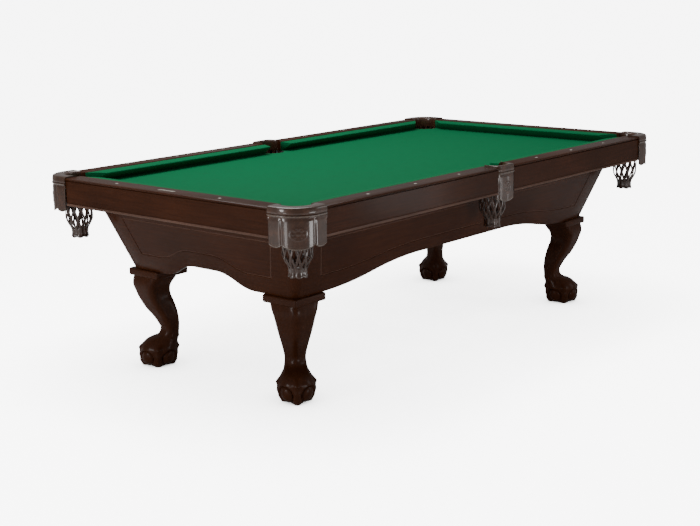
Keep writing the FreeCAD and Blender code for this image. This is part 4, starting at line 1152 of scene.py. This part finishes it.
def stitch_mesh(kind):
    """A row of hand stitches above a shield's lower edge."""
    path = edge_path(kind, 8, 0.1)
    count = 44 if kind == "corner" else 30
    bm = bmesh.new()
    for number in range(count):
        u = (number + 0.5) / count
        point, _ = path(u)
        ahead = (path(u + 0.004)[0] - path(u - 0.004)[0]).normalized()
        grown = bmesh.ops.create_icosphere(bm, subdivisions=1, radius=1)["verts"]
        turn = ahead.to_track_quat("X", "Z").to_matrix().to_4x4()
        sized = Matrix.Diagonal((1.9 * MM, 0.7 * MM, 0.7 * MM, 1))
        bmesh.ops.transform(bm, matrix=Matrix.Translation(point) @ turn @ sized, verts=grown)
    return bm


def pocket_places():
    corners = [(name, "corner", sx, sy) for name, sx, sy in CORNERS]
    return corners + [(f"middle_{side}", "side", 1, sy) for side, sy in SIDES.items()]


def flipped(bm, sx, sy):
    """Carry a mesh to another side of the table's middle planes, and keep its faces outwards."""
    bmesh.ops.scale(bm, verts=bm.verts, vec=(sx, sy, 1))
    if sx * sy < 0:
        bmesh.ops.reverse_faces(bm, faces=bm.faces)
    return bm


class POOLTABLE_OT_leathers(bpy.types.Operator):
    """Six leather collars with their shields, piped edges and stitches."""
    bl_idname = "pool_table.leathers"
    bl_label = "Pocket leathers"

    def execute(self, context):
        for name, kind, sx, sy in pocket_places():
            parts = (("shield", leather_mesh(kind), "leather", 70),
                     ("piping", tube(edge_path(kind, 0.6, -1.6), 2.4 * MM, 120), "piping", 80),
                     ("rim", tube(rim_path(kind), 2.9 * MM, 120), "piping", 80),
                     ("stitches", stitch_mesh(kind), "thread", 80))
            for part, bm, finish, sharp in parts:
                new_piece(f"leather_{part}_{name}", flipped(bm, sx, sy), finish,
                          [f"pocket_leather_{name}"], sharp=sharp)
        return {"FINISHED"}


# ---------------------------------------------------------------- nets

# A net's outer line: height above the floor and radius, in millimetres.
NET_LINE = [(757, 54), (720, 54), (690, 54), (660, 55.5), (640, 55.5), (622, 54), (603, 47), (588, 37.5),
            (576, 33), (566, 32), (556, 33)]
STRAP_TURN = math.radians(0.34)      # how far a strap winds round for each millimetre down
STRAP_WIDTH = 9.0
STRAP_WALL = 2.2


def strap_mesh(first, way):
    """One strap, wound down a net and passing over and under those that wind the other way."""
    top, bottom = NET_LINE[0][0], 562
    crossing = math.pi / size("net_straps") / STRAP_TURN

    def spot(u, v):
        up = top + (bottom - top) * u
        angle = first + way * STRAP_TURN * (top - up)
        radius = smooth(NET_LINE, up) - STRAP_WALL
        weave = way * 1.3 * math.cos(math.pi * (top - up) / crossing)
        turn = v * FULL_TURN
        wide, thick = math.cos(turn), math.sin(turn)
        across = STRAP_WIDTH / 2 * math.copysign(abs(wide) ** 0.6, wide)
        deep = STRAP_WALL / 2 * math.copysign(abs(thick) ** 0.8, thick) * (1 + 0.5 * abs(wide) ** 3)
        angle += across / radius
        reach = radius + weave + deep
        return Vector((reach * math.cos(angle), reach * math.sin(angle), up)) * MM

    return close_tube(shaped_grid(48, 10, spot))


def cuff_mesh():
    """The gathered end of a net: a fluted, rolled cuff and a dished floor inside it."""
    line = [(33.0, 584), (34.6, 580), (34.2, 574), (33.6, 566), (34.4, 556), (35.6, 549), (35.2, 546),
            (33.5, 545.5), (31.6, 548), (30.6, 556), (30.4, 568), (29, 578), (20, 581), (0.5, 582)]

    def spot(u, v):
        place = v * (len(line) - 1)
        index = min(int(place), len(line) - 2)
        share = place - index
        radius = line[index][0] + (line[index + 1][0] - line[index][0]) * share
        up = line[index][1] + (line[index + 1][1] - line[index][1]) * share
        angle = u * FULL_TURN
        lobe = abs(math.sin(angle * 3.5))
        flute = 3.4 * lobe - 3.4 if place < 9 else 0
        scallop = 4 * (1 - lobe) if 4 < place < 9 else 0
        reach = radius + flute
        return Vector((reach * math.cos(angle), reach * math.sin(angle), up + scallop + 0.5)) * MM

    bm = shaped_grid(112, 39, spot)
    bmesh.ops.remove_doubles(bm, verts=bm.verts, dist=1e-6)
    bmesh.ops.holes_fill(bm, edges=[edge for edge in bm.edges if edge.is_boundary], sides=0)
    bmesh.ops.recalc_face_normals(bm, faces=bm.faces)
    return bm


NET_SWING = 0.014             # how far a corner net's foot hangs out from its drop


def hung(bm, out):
    """Swing a net's lower part outwards."""
    top, full = NET_LINE[0][0] * MM, 670 * MM
    for vert in bm.verts:
        vert.co += out * (NET_SWING * ease(0, top - full, top - vert.co.z))
    return bm


class POOLTABLE_OT_nets(bpy.types.Operator):
    """Six nets of interlaced straps, gathered at the foot into a cuff."""
    bl_idname = "pool_table.nets"
    bl_label = "Pocket nets"

    def execute(self, context):
        count = size("net_straps")
        for name, kind, sx, sy in pocket_places():
            centre = middle(f"pocket_net_{name}")
            place = Matrix.Translation((centre.x, centre.y, 0))
            out = Vector((sx, sy, 0)).normalized() if kind == "corner" else Vector((0, 0, 0))
            bm = bmesh.new()
            for number in range(count):
                for way in (1, -1):
                    join(bm, strap_mesh(FULL_TURN * number / count, way))
            node = [f"pocket_net_{name}"]
            new_piece(f"woven_net_{name}", hung(bm, out), "straps", node, place, 60)
            new_piece(f"net_cuff_{name}", hung(cuff_mesh(), out), "straps", node, place, 80)
        return {"FINISHED"}


# ---------------------------------------------------------------- carried-over nodes

# The finish of each CAD node that stays, by how its name starts. The first that fits is taken.
CARRIED = [("slate_backing", "poplar"), ("slate_screws", "zinc"), ("slate_", "slate"),
           ("frame_beams", "poplar"), ("corner_blocks", "poplar"), ("cushion_", "rubber"),
           ("pocket_irons", "iron"), ("pocket_bolts", "zinc"), ("rail_bolts", "zinc"), ("leg_bolts", "zinc"),
           ("leveller_", "zinc"), ("sights", "pearl"), ("name_plate", "plate")]


class POOLTABLE_OT_hardware(bpy.types.Operator):
    """Give each CAD node that stays its real finish."""
    bl_idname = "pool_table.hardware"
    bl_label = "Frame finishes"

    def execute(self, context):
        for name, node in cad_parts.items():
            finish = next((finish for start, finish in CARRIED if name.startswith(start)), None)
            if finish:
                for slot in node.material_slots:
                    slot.material = FINISHES[finish]
        return {"FINISHED"}


# ---------------------------------------------------------------- add-on

OPERATORS = [POOLTABLE_OT_stage, POOLTABLE_OT_bed, POOLTABLE_OT_rails,
             POOLTABLE_OT_cushions, POOLTABLE_OT_fascias, POOLTABLE_OT_panels,
             POOLTABLE_OT_posts, POOLTABLE_OT_caps, POOLTABLE_OT_legs,
             POOLTABLE_OT_leathers, POOLTABLE_OT_nets, POOLTABLE_OT_hardware]


class POOLTABLE_PT_panel(bpy.types.Panel):
    """The table's pieces and sizes."""
    bl_idname = "POOLTABLE_PT_panel"
    bl_label = "Pool Table"
    bl_space_type = "VIEW_3D"
    bl_region_type = "UI"
    bl_category = "Pool Table"

    def draw(self, context):
        column = self.layout.column(align=True)
        for item in OPERATORS:
            column.operator(item.bl_idname, text=item.bl_label)
        for group in (context.scene.pool_table_sizes, context.scene.pool_table_finishes):
            for prop in group.__annotations__:
                column.prop(group, prop)


CLASSES = [PoolTableSizes, PoolTableFinishes, *OPERATORS, POOLTABLE_PT_panel]


def register():
    for item in CLASSES:
        bpy.utils.register_class(item)
    bpy.types.Scene.pool_table_sizes = PointerProperty(type=PoolTableSizes)
    bpy.types.Scene.pool_table_finishes = PointerProperty(type=PoolTableFinishes)


def unregister():
    del bpy.types.Scene.pool_table_finishes
    del bpy.types.Scene.pool_table_sizes
    for item in reversed(CLASSES):
        bpy.utils.unregister_class(item)


def main():
    register()
    FINISHES.update(make_finishes())
    bpy.ops.pool_table.stage()
    bpy.ops.pool_table.bed()
    bpy.ops.pool_table.rails()
    bpy.ops.pool_table.cushions()
    bpy.ops.pool_table.fascias()
    bpy.ops.pool_table.panels()
    bpy.ops.pool_table.posts()
    bpy.ops.pool_table.caps()
    bpy.ops.pool_table.legs()
    bpy.ops.pool_table.leathers()
    bpy.ops.pool_table.nets()
    bpy.ops.pool_table.hardware()


if __name__ == "__main__":
    main()
